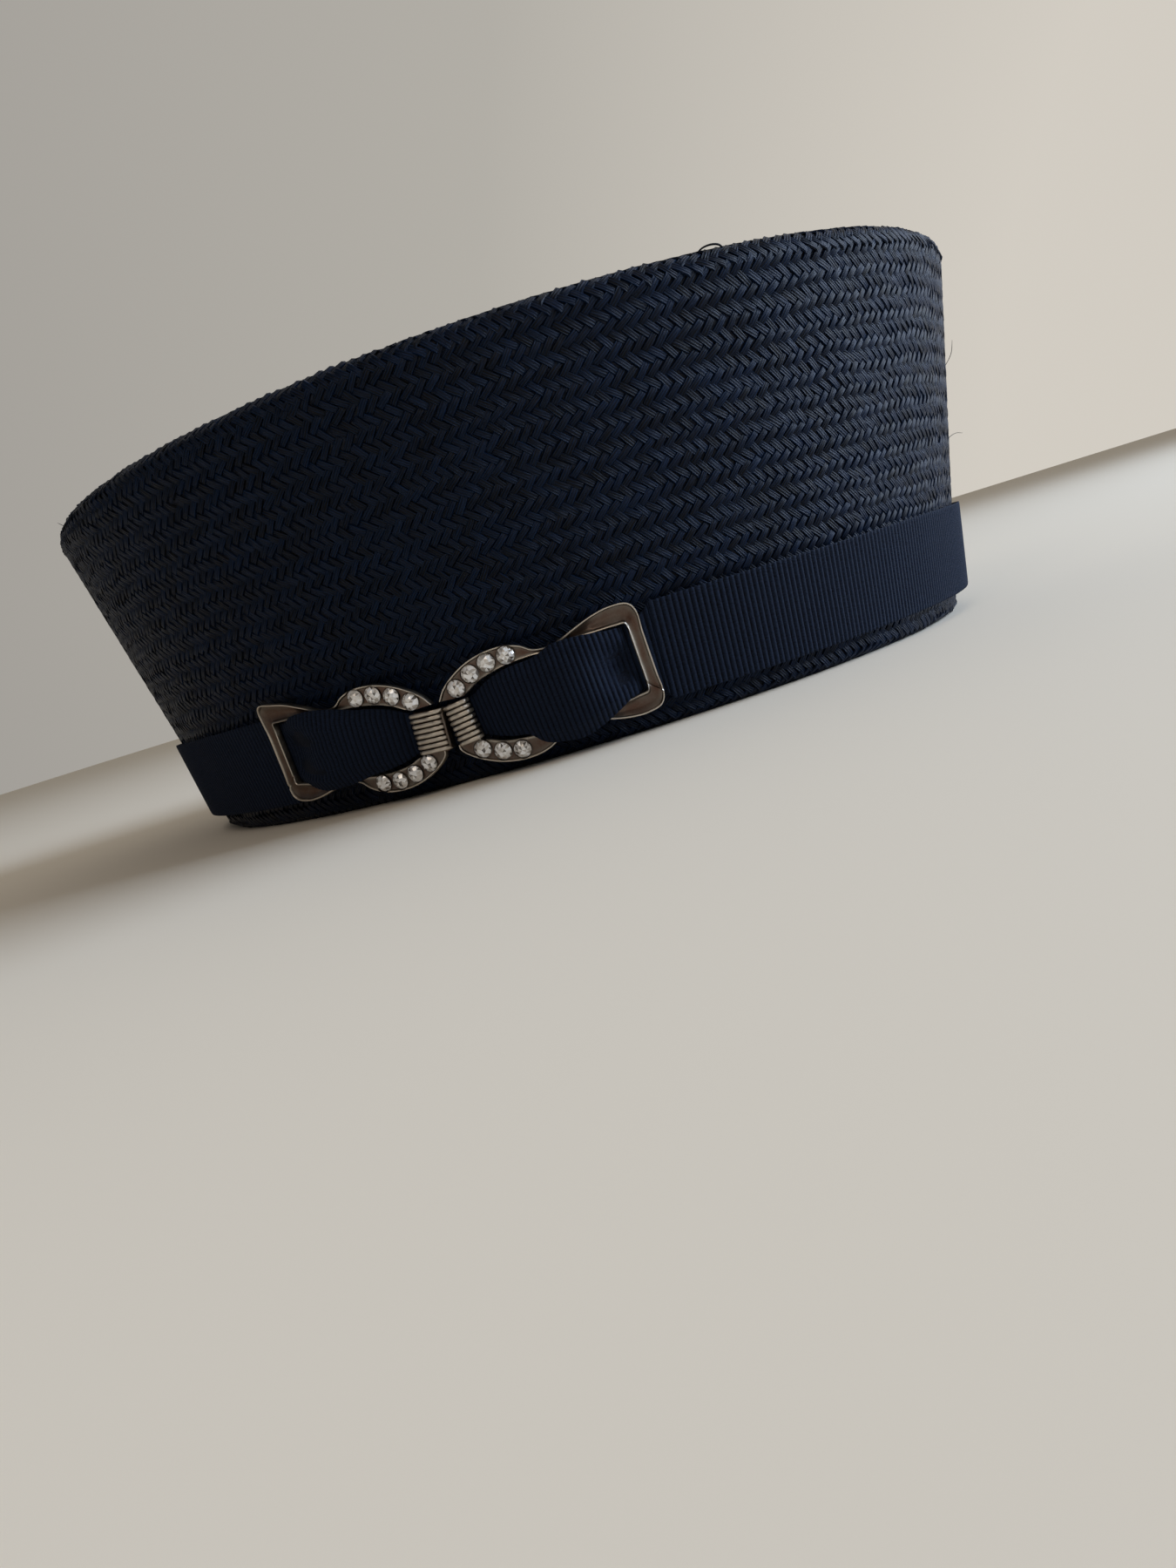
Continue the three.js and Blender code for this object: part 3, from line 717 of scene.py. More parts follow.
def rows_piece(name, rows):
    piece = make_piece(name, [here for here, _, _, _ in rows], [])
    steps = piece.data.attributes.new("step", "FLOAT_VECTOR", "POINT")
    steps.data.foreach_set("vector", [float(v) * MM for _, step, _, _ in rows for v in step])
    store(piece, "count", [count for _, _, count, _ in rows])
    store(piece, "lean", [lean for _, _, _, lean in rows])
    return piece


def weave_crown(straw):
    """The woven face of the crown, in pieces from the rim to the middle of the tip."""
    rows = weave_rows()
    tree = weave_tree()
    shape = strand_shape()
    tip = next(i for i, row in enumerate(rows) if row[0][2] > CROWN_HEIGHT - 0.05)
    cuts = (("low", 0, tip // 2), ("high", tip // 2, tip), ("tip", tip, len(rows)))
    pieces = []
    for i, (part, first, last) in enumerate(cuts):
        sizes = {
            "Strand": shape,
            "Straw": straw,
            "Most in a row": WALL_COLUMNS,
            "Strand width": STRAND_WIDTH * MM,
            "Drift": DRIFT,
            "Unevenness": UNEVENNESS,
            "Seed": SEED + 20 * i,
        }
        piece = grow(rows_piece("straw_weave_" + part, rows[first:last]), tree, sizes)
        for vertex in piece.data.vertices:
            vertex.co.z = max(vertex.co.z, FOOT_LEVEL * MM)
        pieces.append(piece)
    bpy.data.objects.remove(shape)
    return pieces


def straw_ground(lining):
    """The closed shell of straw under the woven face, with the inside of the crown and its turned-in edge."""
    outside = crown_line(WEAVE_DEPTH)
    inner_round = TOP_ROUNDING - STRAW_WALL
    top = CROWN_HEIGHT - TOP_ROUNDING
    inner = [(-RIM_ROLL - RIM_FLAT - 0.02, WEAVE_DEPTH + 0.05)]
    inner += [(-RIM_ROLL - RIM_FLAT, HEM_HEIGHT * i / 4) for i in range(1, 5)]
    inner += [(wall_offset(HEM_HEIGHT) - STRAW_WALL, HEM_HEIGHT + STRAW_WALL)]
    for i in range(1, 30):
        z = HEM_HEIGHT + STRAW_WALL + (top - HEM_HEIGHT - STRAW_WALL) * i / 30
        inner.append((wall_offset(z) - STRAW_WALL, z))
    for i in range(7):
        turn = math.radians(15 * i)
        offset = CROWN_FLARE - TOP_ROUNDING + inner_round * math.cos(turn)
        inner.append((offset, top + inner_round * math.sin(turn)))
    sides = 192
    loops = [tuple(ring) for ring in outside[::-1]] + ovals(inner) + tip_ovals(CROWN_HEIGHT - STRAW_WALL, 12)
    points = []
    first_of = []
    for a, b, z in loops:
        first_of.append(len(points))
        if a < 1e-6:
            points.append((0.0, 0.0, z))
            continue
        for k in range(sides):
            turn = math.tau * k / sides
            points.append((a * math.cos(turn), b * math.sin(turn), z))
    faces = []
    places = []
    run = 0.0
    for i in range(len(loops) - 1):
        one, two = loops[i], loops[i + 1]
        step = math.hypot((two[0] - one[0] + two[1] - one[1]) / 2, two[2] - one[2]) / ROW_PITCH
        for k in range(sides):
            n = (k + 1) % sides
            left, right = WALL_COLUMNS * k / sides, WALL_COLUMNS * (k + 1) / sides
            p, q = first_of[i], first_of[i + 1]
            if one[0] < 1e-6:
                faces.append((p, q + n, q + k))
                places += [(left, run), (right, run + step), (left, run + step)]
            elif two[0] < 1e-6:
                faces.append((p + k, p + n, q))
                places += [(left, run), (right, run), (left, run + step)]
            else:
                faces.append((p + k, p + n, q + n, q + k))
                places += [(left, run), (right, run), (right, run + step), (left, run + step)]
        run += step
    piece = make_piece("straw_ground", points, faces, lining)
    map_surface(piece, "rows", places)
    return piece


# Strands that have worked loose: half their thickness, and points on their way, each given by degrees
# round the hat, distance out from the rim's oval and height.
LOOSE_STRANDS = (
    (
        0.3,
        (
            (-47.0, 13.0, 81.6),
            (-46.4, 13.6, 82.2),
            (-45.5, 13.8, 82.45),
            (-44.6, 13.7, 82.2),
            (-43.9, 13.0, 81.5),
        ),
    ),
    (0.1, ((-3.5, 10.2, 54.0), (-2.2, 11.2, 55.0), (-1.4, 12.6, 57.0), (-1.1, 13.4, 59.6))),
    (0.1, ((-0.5, 6.6, 38.5), (0.6, 7.8, 39.4), (1.6, 9.2, 39.8), (2.3, 10.6, 39.4))),
    (0.1, ((-128.0, 14.2, 78.0), (-129.2, 15.6, 79.2), (-130.6, 16.4, 80.8))),
    (0.1, ((95.0, 14.4, 76.0), (96.2, 15.9, 77.0), (97.6, 16.8, 79.2))),
)


def loose_strands(straw):
    """Single strands and hair-fine fibres that stand off the weave."""
    pieces = []
    for radius, route in LOOSE_STRANDS:
        knots = [oval_point(math.radians(turn), out, z) for turn, out, z in route]
        path = [Vector(p) for p in curve_through(knots, 6)]
        rings = []
        for i, spot in enumerate(path):
            ahead = (path[min(i + 1, len(path) - 1)] - path[max(i - 1, 0)]).normalized()
            side = ahead.cross(Vector((0, 0, 1))).normalized()
            over = side.cross(ahead)
            thin = 1 - 0.6 * abs(2 * i / (len(path) - 1) - 1) ** 3
            ring = []
            for k in range(6):
                turn = math.tau * k / 6
                ring.append(spot + radius * thin * (side * math.cos(turn) + 0.6 * over * math.sin(turn)))
            rings.append(ring)
        piece = make_piece("loose_strand", [p for ring in rings for p in ring], lofted(rings), straw)
        turn_outward(piece)
        pieces.append(piece)
    return join("loose_strands", pieces)


def table_value(x, xs, ys):
    """A smooth curve through a table's values."""
    slopes = np.gradient(ys, xs)
    i = int(np.clip(np.searchsorted(xs, x) - 1, 0, len(xs) - 2))
    span = xs[i + 1] - xs[i]
    t = min(max((x - xs[i]) / span, 0.0), 1.0)
    start = (2 * t**3 - 3 * t**2 + 1) * ys[i] + (t**3 - 2 * t**2 + t) * span * slopes[i]
    return start + (3 * t**2 - 2 * t**3) * ys[i + 1] + (t**3 - t**2) * span * slopes[i + 1]


RIBBON_ALONG = [row[0] for row in RIBBON_ROWS]
# Creases that gather towards the bar: share of the half width there, how deep, and how wide.
CREASES = ((-0.66, 0.9, 0.8), (-0.3, 0.7, 0.6), (0.36, 0.8, 0.65), (0.72, 0.8, 0.8))


def slide_ribbon_point(slide, along, share, relief):
    """A point of the ribbon inside a slide, along the slide and at a share of the ribbon's width."""
    x = along / SLIDE_LENGTH
    columns = (1, 2) if slide is FRONT else (3, 4)
    low, high = (table_value(x, RIBBON_ALONG, [row[c] for row in RIBBON_ROWS]) * SLIDE_HALF for c in columns)
    lift = table_value(x, RIBBON_ALONG, [row[5] for row in RIBBON_ROWS])
    across = low + (high - low) * share
    side = min(share, 1 - share)
    out = lift * (PUFF_HEIGHT + PUFF_CROWN * 4 * share * (1 - share))
    out -= SELVEDGE_DROP * lift * (1 - smoothstep(0.0, 0.17, side))
    middle, reach, spread = slide["hollow"]
    near = math.exp(-(((along - HOLLOW_ALONG) / reach) ** 2))
    out -= HOLLOW_DEPTH * near * lift * math.exp(-(((across - middle) / spread) ** 2))
    pull = smoothstep(12.0, 31.0, along) * (1 - smoothstep(35.0, 37.0, along))
    for place, deep, wide in CREASES:
        line = place * SLIDE_HALF * (0.42 + 0.022 * (36.8 - along))
        out -= deep * pull * lift * math.exp(-(((across - line) / wide) ** 2))
    return seat(slide, along, across, max(out, 0.0) + relief)


def plain_ribbon_point(angle, share, relief):
    """A point of the ribbon away from the slides, where it wanders a little in height and fit."""
    wave = 0.14 * math.sin(5 * angle + 0.6) + 0.08 * math.sin(11 * angle)
    z = RIBBON_LOW + (RIBBON_HIGH - RIBBON_LOW) * share + 0.5 * wave
    return oval_point(angle, wall_offset(z) + ribbon_face(z) + 0.6 * wave + relief, z)


def ribbon_stretches():
    """The ribbon's way round the hat, in stretches: a length and a point for each place in it."""
    reach = SLIDE_LENGTH * RIBBON_ALONG[-1]
    full = reach + RIBBON_EASE
    front_angle = angle_at(FRONT["start"] + full)
    rear_angle = angle_at(REAR["start"] - full) + math.tau

    def inside(slide, outward):
        def point(t, share, relief):
            along = reach * (t if outward else 1 - t)
            return slide_ribbon_point(slide, along, share, relief)

        return 1.13 * reach, point

    def under_bar(slide, outward):
        last_angle = front_angle if slide is FRONT else rear_angle

        def point(t, share, relief):
            way = t if outward else 1 - t
            along = reach + RIBBON_EASE * way
            held = slide_ribbon_point(slide, reach, share, relief)
            moved = seat(slide, along, 0.0, 0.0) - seat(slide, reach, 0.0, 0.0)
            free = plain_ribbon_point(last_angle, share, relief)
            return (held + moved).lerp(free, smoothstep(0.15, 1.0, way))

        return RIBBON_EASE, point

    def round_hat(t, share, relief):
        return plain_ribbon_point(front_angle + (rear_angle - front_angle) * t, share, relief)

    def between_slides(t, share, relief):
        rear = slide_ribbon_point(REAR, 0.0, share, relief)
        front = slide_ribbon_point(FRONT, 0.0, share, relief)
        return rear.lerp(front, t)

    middle = [round_hat(i / 400, 0.5, 0.0) for i in range(401)]
    length = sum((middle[i + 1] - middle[i]).length for i in range(400))
    return (
        inside(FRONT, True),
        under_bar(FRONT, True),
        (length, round_hat),
        under_bar(REAR, False),
        inside(REAR, False),
        (JOIN_LENGTH, between_slides),
    )


def ribbon_band(material):
    """The ribbed ribbon as one closed band, a rib to every few columns, with selvedges."""
    # Places across its outer and inner face, and how high each column of a rib stands.
    outer = (0.0, 0.022, 0.06, 0.14, 0.24, 0.36, 0.5, 0.64, 0.76, 0.86, 0.94, 0.978, 1.0)
    inner = (1.0, 0.86, 0.5, 0.14, 0.0)
    crest = (0.0, 0.84, 1.0, 0.84)
    points = []
    painted_rib_shading = []
    for length, point in ribbon_stretches():
        count = max(round(length / RIB_PITCH), 1) * COLUMNS_PER_RIB
        for i in range(count):
            rise = crest[i % COLUMNS_PER_RIB]
            for share in outer:
                edge = smoothstep(0.0, 0.03, min(share, 1 - share))
                relief = RIB_RELIEF * (rise - 1) * (0.45 + 0.55 * edge) - 0.1 * (1 - edge)
                points.append(point(i / count, share, relief))
                # Each column's colour follows its height: painted shade in the grooves, lighter crests.
                painted_rib_shading.append(rise)
            for share in inner:
                points.append(point(i / count, share, -RIBBON_THICK))
                painted_rib_shading.append(0.3)
    around = len(outer) + len(inner)
    columns = len(points) // around
    heights = [share * (RIBBON_HIGH - RIBBON_LOW) for share in outer + inner]
    faces = []
    places = []
    for i in range(columns):
        n = (i + 1) % columns
        u, v = i * RIB_PITCH / COLUMNS_PER_RIB, (i + 1) * RIB_PITCH / COLUMNS_PER_RIB
        for j in range(around):
            m = (j + 1) % around
            faces.append((i * around + j, n * around + j, n * around + m, i * around + m))
            top = heights[m] if m else heights[0]
            places += [(u, heights[j]), (v, heights[j]), (v, top), (u, top)]
    piece = make_piece("grosgrain_band", points, faces, material)
    store(piece, "rib", painted_rib_shading)
    map_surface(piece, "cloth", places)
    return piece


def curve_through(knots, steps):
    """Points on a smooth curve through knots, with some steps from each knot to the next."""
    knots = [np.array(k, float) for k in knots]
    out = []
    for i in range(len(knots) - 1):
        p1, p2 = knots[i], knots[i + 1]
        p0 = knots[i - 1] if i else 2 * p1 - p2
        p3 = knots[i + 2] if i + 2 < len(knots) else 2 * p2 - p1
        d0, d1, d2 = (math.sqrt(max(np.linalg.norm(q - p), 1e-9)) for p, q in ((p0, p1), (p1, p2), (p2, p3)))
        m1 = ((p1 - p0) / d0 - (p2 - p0) / (d0 + d1) + (p2 - p1) / d1) * d1
        m2 = ((p2 - p1) / d1 - (p3 - p1) / (d1 + d2) + (p3 - p2) / d2) * d1
        for k in range(steps):
            t = k / steps
            out.append(
                (2 * t**3 - 3 * t**2 + 1) * p1 + (t**3 - 2 * t**2 + t) * m1
                + (3 * t**2 - 2 * t**3) * p2 + (t**3 - t**2) * m2
            )
    out.append(knots[-1])
    return out


def slide_stations(slide, steps):
    """Outer and inner edge of a slide from the free end of its upper crescent to the barrel's foot."""
    lower = [(row[0], -row[1], row[2], -row[3]) for row in SLIDE_EDGE[-2::-1] + (CRESCENT_FOOT,)]
    upper = list(SLIDE_EDGE)
    if slide is REAR:
        upper[-4:-2] = [REAR_CORNER[0] + upper[-4][2:], REAR_CORNER[1] + upper[-3][2:]]
    rows = upper + lower
    outer = curve_through([(row[0] * SLIDE_LENGTH, row[1] * SLIDE_HALF) for row in rows], steps)
    inner = curve_through([(row[2] * SLIDE_LENGTH, row[3] * SLIDE_HALF) for row in rows], steps)
    return list(zip(outer, inner))


def slide_section(place, width):
    """A section of the slide's metal: share across, height, and how rubbed it is, a share that also paints
    highlight on the lips and shade on the dish floors. Place counts rows of
    the outline: crescents at both ends, leaf-shaped arms with a hollow, and the bar between them."""
    last = 2 * (len(SLIDE_EDGE) - 1)
    half = min(place, last - place)
    arm = smoothstep(6.5, 9.5, half) * (1 - smoothstep(13.2, 14.4, half))
    bar = smoothstep(13.2, 14.4, half)
    dish = 0.62 * arm + 0.12 * bar
    lip = min(LIP_WIDTH / width, 0.3)
    floor = SLIDE_LIFT + PLATE_FLOOR
    lip_top = floor + LIP_HEIGHT - 0.2 * bar
    inner_lip = min(0.3 / width, 0.2)
    inner_top = floor + 0.06 + 0.3 * arm + 0.1 * bar
    # A fine cut across the bar near its lower end.
    notch = 0.3 * math.exp(-(((place - 17.72) / 0.07) ** 2))
    # The third number is how rubbed each place is, which also paints highlight on the lips and shade on the
    # dish floor.
    section = (
        (0.0, SLIDE_LIFT, 0.3),
        (0.0, lip_top - 0.16, 0.8),
        (lip * 0.22, lip_top, 1.0),
        (lip * 0.7, lip_top, 1.0),
        (lip, lip_top - 0.18, 0.6),
        (lip * 1.25, floor - 0.3 * dish, 0.2),
        (lip + (1 - lip) * 0.3, floor - 0.85 * dish, 0.0),
        (lip + (1 - lip) * 0.55, floor - dish, 0.0),
        (1 - inner_lip * 2.2, floor - 0.55 * dish, 0.1),
        (1 - inner_lip, inner_top - 0.08, 0.6),
        (1 - inner_lip * 0.45, inner_top, 1.0),
        (1.0, inner_top - 0.14, 0.7),
        (1.0, SLIDE_LIFT, 0.3),
    )
    return [(share, out - notch * (out > floor - 0.7), worn) for share, out, worn in section]


def lofted(sections):
    """Faces of a chain of closed sections with both ends closed."""
    around = len(sections[0])
    faces = []
    for i in range(len(sections) - 1):
        for j in range(around):
            m = (j + 1) % around
            faces.append((i * around + j, i * around + m, (i + 1) * around + m, (i + 1) * around + j))
    faces.append(tuple(range(around - 1, -1, -1)))
    last = (len(sections) - 1) * around
    faces.append(tuple(range(last, last + around)))
    return faces


def stone_places(slide):
    return [
        (seat_along * SLIDE_LENGTH, side * seat_across * SLIDE_HALF)
        for name, side, count in STONE_ROWS
        if name == slide["name"]
        for seat_along, seat_across in STONE_SEATS[:count]
    ]


def cut_pits(piece, slide):
    """Cuts the round seats of the stones."""
    floor = SLIDE_LIFT + PLATE_FLOOR
    tool = bmesh.new()
    sides = 28
    for along, across in stone_places(slide):
        rings = []
        for out in (floor - PIT_DEPTH, floor + 1.2):
            ring = []
            for k in range(sides):
                turn = math.tau * k / sides
                here, aside = along + PIT_RADIUS * math.cos(turn), across + PIT_RADIUS * math.sin(turn)
                ring.append(tool.verts.new(seat(slide, here, aside, out) * MM))
            rings.append(ring)
        for k in range(sides):
            n = (k + 1) % sides
            tool.faces.new((rings[0][k], rings[0][n], rings[1][n], rings[1][k]))
        tool.faces.new(rings[0][::-1])
        tool.faces.new(rings[1])
    bmesh.ops.recalc_face_normals(tool, faces=tool.faces)
    mesh = bpy.data.meshes.new("pit_cutter")
    tool.to_mesh(mesh)
    tool.free()
    cutter = in_scene("pit_cutter", mesh)
    cut = piece.modifiers.new("pits", "BOOLEAN")
    cut.operation = "DIFFERENCE"
    cut.solver = "EXACT"
    cut.object = cutter
    bpy.context.view_layer.objects.active = piece
    piece.select_set(True)
    bpy.ops.object.modifier_apply(modifier=cut.name)
    bpy.data.objects.remove(cutter)


def frame_piece(slide, metal):
    """The slide's cast frame: two crescents, two leaf-shaped arms and the bar."""
    steps = 12
    stations = slide_stations(slide, steps)
    sections = []
    worn = []
    for i, (outer, inner) in enumerate(stations):
        section = []
        for share, out, wear_and_painted_light_share in slide_section(i / steps, float(np.linalg.norm(outer - inner))):
            along, across = outer + (inner - outer) * share
            section.append(seat(slide, along, across, out))
            worn.append(wear_and_painted_light_share)
        sections.append(section)
    piece = make_piece("frame", [p for s in sections for p in s], lofted(sections), metal)
    store(piece, "worn", worn)
    turn_outward(piece)
    cut_pits(piece, slide)
    return piece


def barrel_pieces(slide, metal):
    """The slide's barrel: flat turns of wire over a half-round core, and on the rear one an end flange."""
    first, last = slide["barrel"]
    flange = 0.5 if slide is REAR else 0.0
    first_turn = first + flange
    middle, half = (first_turn + last) / 2, (last - first_turn) / 2
    pitch = (BARREL_HIGH + BARREL_LOW) / BARREL_TURNS
    made = []
    core = []
    for across in (-BARREL_LOW, BARREL_HIGH):
        ring = []
        for k in range(13):
            turn = math.pi * k / 12
            along = middle - (half - 0.45) * math.cos(turn)
            ring.append(seat(slide, along, across, SLIDE_LIFT + (BARREL_RISE - 0.7) * math.sin(turn) ** 0.7))
        core.append(ring)
    # The core is painted darkest: tarnish, and painted shade where it shows between the turns.
    made.append((core, 0.0))
    sides = 10
    for i in range(BARREL_TURNS):
        tube = []
        level = -BARREL_LOW + pitch * (i + 0.5)
        for k in range(19):
            turn = math.pi * k / 18
            swell = 0.08 * math.sin(9 * turn + 2.3 * i)
            along = middle - half * math.copysign(abs(math.cos(turn)) ** 0.8, math.cos(turn))
            out = SLIDE_LIFT + 0.15 + (BARREL_RISE - 0.45) * math.sin(turn) ** 0.62
            lean = 0.42 * pitch * (k / 18 - 0.5) * slide["sense"]
            ring = []
            for s in range(sides):
                around = math.tau * s / sides
                wide = (0.43 * pitch + 0.02 * math.sin(3 * i)) * math.cos(around)
                deep = (0.36 + swell) * math.sin(around)
                high = out + deep * (0.25 + math.sin(turn)) / 1.25
                ring.append(seat(slide, along - deep * math.cos(turn), level + lean + wide, high))
            tube.append(ring)
        made.append((tube, None))
    if flange:
        plate = []
        for along in (first, first + 0.08, first + 0.3, first + 0.38):
            inset = 0.1 if along in (first, first + 0.38) else 0.0
            low, top = -BARREL_LOW + FLANGE_INSET + inset, BARREL_HIGH - FLANGE_INSET - inset
            ring = []
            for k in range(13):
                turn = math.pi * k / 12
                side = low + (top - low) * (1 - math.cos(turn)) / 2
                high = SLIDE_LIFT + (BARREL_RISE - inset) * min(1.0, 1.9 * math.sin(turn)) ** 0.6
                ring.append(seat(slide, along, side, high))
            plate.append(ring)
        made.append((plate, 0.15))
    pieces = []
    for i, (sections, wear_and_painted_light_share) in enumerate(made):
        part = make_piece(f"turn_{i}", [p for s in sections for p in s], lofted(sections), metal)
        worn = [wear_and_painted_light_share] * len(part.data.vertices)
        # Each turn is painted bright on its outer half and dark underneath: rubbing with painted highlight
        # and painted shade.
        if wear_and_painted_light_share is None:
            worn = [max(0.0, math.sin(math.tau * (j % sides) / sides)) for j in range(len(worn))]
        store(part, "worn", worn)
        turn_outward(part)
        pieces.append(part)
    return pieces


def join(name, pieces):
    """One piece from several, which it takes the place of."""
    bpy.ops.object.select_all(action="DESELECT")
    for piece in pieces:
        piece.select_set(True)
    bpy.context.view_layer.objects.active = pieces[0]
    bpy.ops.object.join()
    whole = bpy.context.view_layer.objects.active
    whole.name = name
    return whole


def metal_slide(slide, metal):
    pieces = [frame_piece(slide, metal)] + barrel_pieces(slide, metal)
    whole = join(f"slide_{slide['name']}_metal", pieces)
    whole.data.set_sharp_from_angle(angle=math.radians(38))
    return whole


def corners(radius, count, level, ahead=0.0):
    """Corners evenly round a stone at a height, turned ahead by a share of a step."""
    turns = [math.tau * (k + ahead) / count for k in range(count)]
    return [(radius * math.cos(turn), radius * math.sin(turn), level) for turn in turns]


def stone_shape():
    """A round brilliant of sixteen sides: table, star and main facets, girdle and a short point below."""
    sides = 16
    girdle = corners(STONE_RADIUS, sides, 0.0)
    low_girdle = corners(STONE_RADIUS, sides, -0.12)
    kites = corners(0.78 * STONE_RADIUS, 8, 0.43, 0.5)
    table = corners(0.5 * STONE_RADIUS, 8, 0.75)
    foot = (0.0, 0.0, -0.9)
    centre = (0.0, 0.0, 0.752)
    points = girdle + low_girdle + kites + table + [foot, centre]
    kite_at, table_at = 2 * sides, 2 * sides + 8
    foot_at, centre_at = 2 * sides + 16, 2 * sides + 17
    faces = []
    for k in range(8):
        g0, g1, g2 = 2 * k, 2 * k + 1, (2 * k + 2) % sides
        kite, kite_before = kite_at + k, kite_at + (k - 1) % 8
        corner, corner_next = table_at + k, table_at + (k + 1) % 8
        faces += [(g0, g1, kite), (g1, g2, kite), (g0, kite, corner), (g0, corner, kite_before)]
        faces += [(corner, kite, corner_next), (centre_at, corner, corner_next)]
    for k in range(sides):
        n = (k + 1) % sides
        faces.append((k + sides, n + sides, n, k))
        faces.append((foot_at, n + sides, k + sides))
    shape = make_piece("stone_shape", points, faces, smooth=False)
    turn_outward(shape)
    return shape


def stone_tree():
    """Sets a stone on each point, turned to face along the point's own direction."""
    tree, start, end = new_tree(
        "stone_setting",
        {
            "Stone": "NodeSocketObject",
            "Crystal": "NodeSocketMaterial",
            "Lean": "NodeSocketFloat",
            "Seed": "NodeSocketInt",
        },
    )
    stone = {"Object": start.outputs["Stone"]}
    shape = add(tree, "GeometryNodeObjectInfo", stone, transform_space="ORIGINAL")
    facing = add(tree, "GeometryNodeInputNamedAttribute", {"Name": "facing"}, data_type="FLOAT_VECTOR")
    turned = add(
        tree,
        "FunctionNodeAxesToRotation",
        {"Primary Axis": facing.outputs["Attribute"], "Secondary Axis": (0.0, 0.0, 1.0)},
        primary_axis="Z",
        secondary_axis="X",
    )
    seed = start.outputs["Seed"]
    spin = add(tree, "FunctionNodeRandomValue", {2: 0.0, 3: 0.8, 8: seed}).outputs[1]
    lean = start.outputs["Lean"]
    back = add(tree, MATH, {0: lean, 1: -1.0}, operation="MULTIPLY")
    seed_two = add(tree, MATH, {0: seed, 1: 1}, operation="ADD")
    seed_three = add(tree, MATH, {0: seed, 1: 2}, operation="ADD")
    lean_x = add(tree, "FunctionNodeRandomValue", {2: back, 3: lean, 8: seed_two}).outputs[1]
    lean_y = add(tree, "FunctionNodeRandomValue", {2: back, 3: lean, 8: seed_three}).outputs[1]
    local = add(tree, "ShaderNodeCombineXYZ", {"X": lean_x, "Y": lean_y, "Z": spin})
    local_turn = add(tree, "FunctionNodeEulerToRotation", {0: local})
    both_turns = {"Rotation": turned, "Rotate By": local_turn}
    rotation = add(tree, "FunctionNodeRotateRotation", both_turns, rotation_space="LOCAL")
    points = add(tree, "GeometryNodeMeshToPoints", {"Mesh": start.outputs["Geometry"]})
    setting = {"Points": points, "Instance": shape.outputs["Geometry"], "Rotation": rotation}
    stones = add(tree, "GeometryNodeInstanceOnPoints", setting)
    real = add(tree, "GeometryNodeRealizeInstances", {"Geometry": stones})
    # Each cut face gets a random brightness from dark to white, a painted reflection of the room.
    seed_four = add(tree, MATH, {0: seed, 1: 3}, operation="ADD")
    shade = add(tree, "FunctionNodeRandomValue", {2: 0.0, 3: 1.0, 8: seed_four})
    marked = add(
        tree,
        "GeometryNodeStoreNamedAttribute",
        {"Geometry": real, "Name": "facet", "Value": shade.outputs[1]},
        data_type="FLOAT",
        domain="FACE",
    )
    look = start.outputs["Crystal"]
    finished = add(tree, "GeometryNodeSetMaterial", {"Geometry": marked, "Material": look})
    feed(tree, end, {"Geometry": finished})
    return tree


def set_stones(slide, tree, shape, crystal, seed):
    """All the stones of a slide as one piece, each square to the slide's face at its seat."""
    girdle = SLIDE_LIFT + PLATE_FLOOR + STONE_CLEARANCE
    points = []
    facing = []
    for along, across in stone_places(slide):
        here = seat(slide, along, across, girdle)
        along_way = seat(slide, along + 1, across, girdle) - here
        across_way = seat(slide, along, across + 1, girdle) - here
        facing += list(along_way.cross(across_way).normalized() * slide["sense"])
        points.append(here)
    piece = make_piece(f"stones_{slide['name']}", points, [])
    layer = piece.data.attributes.new("facing", "FLOAT_VECTOR", "POINT")
    layer.data.foreach_set("vector", facing)
    return grow(piece, tree, {"Stone": shape, "Crystal": crystal, "Lean": 0.07, "Seed": seed})


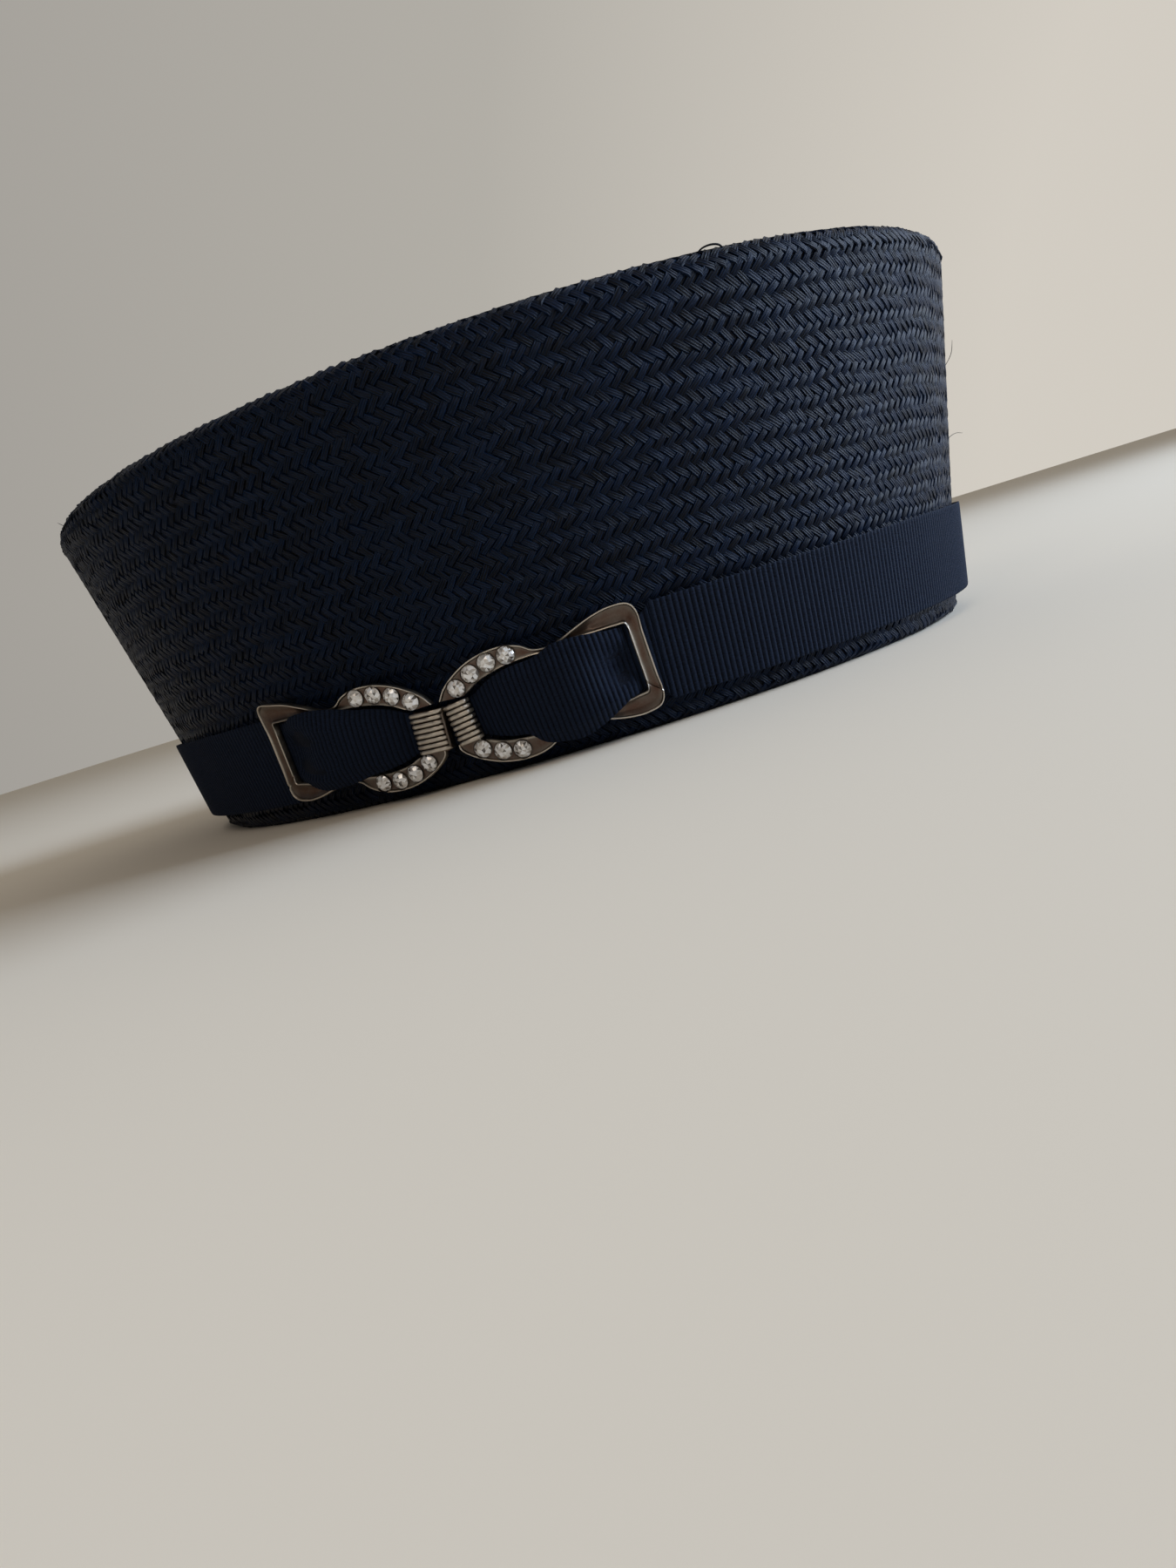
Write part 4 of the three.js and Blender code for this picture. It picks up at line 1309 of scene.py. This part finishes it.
def stage_and_light(target, right, back):
    """A plain pale floor in a room that brightens to the right and behind, with a cool window on the
    right and a faint warm fill from the camera's side."""
    material, tree, face = new_material("pale_floor")
    feed(tree, face, {"Base Color": linear("#efe4d2"), "Roughness": 0.9})
    reach = 6000
    edges = [(-reach, -reach, 0), (reach, -reach, 0), (reach, reach, 0), (-reach, reach, 0)]
    floor = make_piece("floor", edges, [(0, 1, 2, 3)], material)
    world = bpy.data.worlds.new("room")
    bpy.context.scene.world = world
    world.use_nodes = True
    sky = world.node_tree
    place = add(sky, "ShaderNodeTexCoord").outputs["Generated"]
    bright_side = (right * 0.8 - back * 0.6).normalized()
    aim = add(sky, VECTOR, {0: place, 1: tuple(bright_side)}, operation="DOT_PRODUCT")
    ramp = add(sky, "ShaderNodeMapRange", {"Value": aim.outputs["Value"], "From Min": -0.5, "From Max": 0.85})
    colours = add(sky, "ShaderNodeValToRGB", {"Fac": ramp})
    set_stops(colours, ((0.0, "#58585b"), (0.48, "#a9a59f"), (0.8, "#bab6ae"), (1.0, "#dcd6cc")))
    feed(sky, sky.nodes["Background"], {"Color": colours, "Strength": 0.9})
    for name, place, size, energy, colour in (
        ("window", target + right * 1.4 + back * 0.15 + Vector((0, 0, 0.42)), 1.1, 36.0, "#d3e6ff"),
        ("room_fill", target - right * 0.25 + back * 0.9 + Vector((0, 0, 0.55)), 0.5, 1.7, "#fff1e0"),
    ):
        lamp = bpy.data.lights.new(name, "AREA")
        lamp.shape = "SQUARE"
        lamp.size = size
        lamp.energy = energy
        lamp.color = linear(colour)[:3]
        holder = in_scene(name, lamp)
        holder.location = place
        holder.rotation_euler = (place - target).to_track_quat("Z", "Y").to_euler()


def set_camera():
    """The camera at the photograph's place and turn, and the directions that the light is placed by."""
    focal_px, distance = 1352.0, 326.04
    azimuth, elevation, roll = (math.radians(v) for v in (22.89, 8.197, -17.393))
    target = Vector((-3.686, 0.0, -19.502)) * MM
    level = math.cos(elevation)
    back = Vector((math.sin(azimuth) * level, -math.cos(azimuth) * level, math.sin(elevation)))
    right = (-back).cross(Vector((0, 0, 1))).normalized()
    up = right.cross(-back)
    turned_right = right * math.cos(roll) + up * math.sin(roll)
    turned_up = up * math.cos(roll) - right * math.sin(roll)
    lens = bpy.data.cameras.new("camera")
    lens.sensor_fit = "AUTO"
    lens.sensor_width = 36.0
    lens.lens = focal_px * 36.0 / PHOTO_HEIGHT
    lens.clip_start = 0.01
    camera = in_scene("camera", lens)
    axes = Matrix((turned_right, turned_up, back)).transposed().to_4x4()
    camera.matrix_world = Matrix.Translation(target + back * distance * MM) @ axes
    bpy.context.scene.camera = camera
    return right, back


right_way, back_way = set_camera()
bpy.context.scene.view_settings.view_transform = "Standard"
stage_and_light(Vector((0, 0, 0.04)), right_way, back_way)

straw = dyed_straw()
lining = straw_lining()
grosgrain = ribbed_grosgrain()
gunmetal = aged_gunmetal()
crystal = foiled_crystal()

crown_pieces = weave_crown(straw) + [straw_ground(lining), loose_strands(straw)]
for piece in crown_pieces:
    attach(piece, "root")
    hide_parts("crown")

band = ribbon_band(grosgrain)
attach(band, "root")
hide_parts("ribbon_band")

stones_tree = stone_tree()
cut_stone = stone_shape()
for slide in SLIDES:
    metal_piece = metal_slide(slide, gunmetal)
    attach(metal_piece, "root")
    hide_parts("slide_" + slide["name"])
    stones = set_stones(slide, stones_tree, cut_stone, crystal, SEED + (1 if slide is FRONT else 5))
    names = [
        f"stone_{name}_{'upper' if side > 0 else 'lower'}_{i + 1}"
        for name, side, count in STONE_ROWS
        if name == slide["name"]
        for i in range(count)
    ]
    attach(stones, "root")
    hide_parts(*names)
bpy.data.objects.remove(cut_stone)
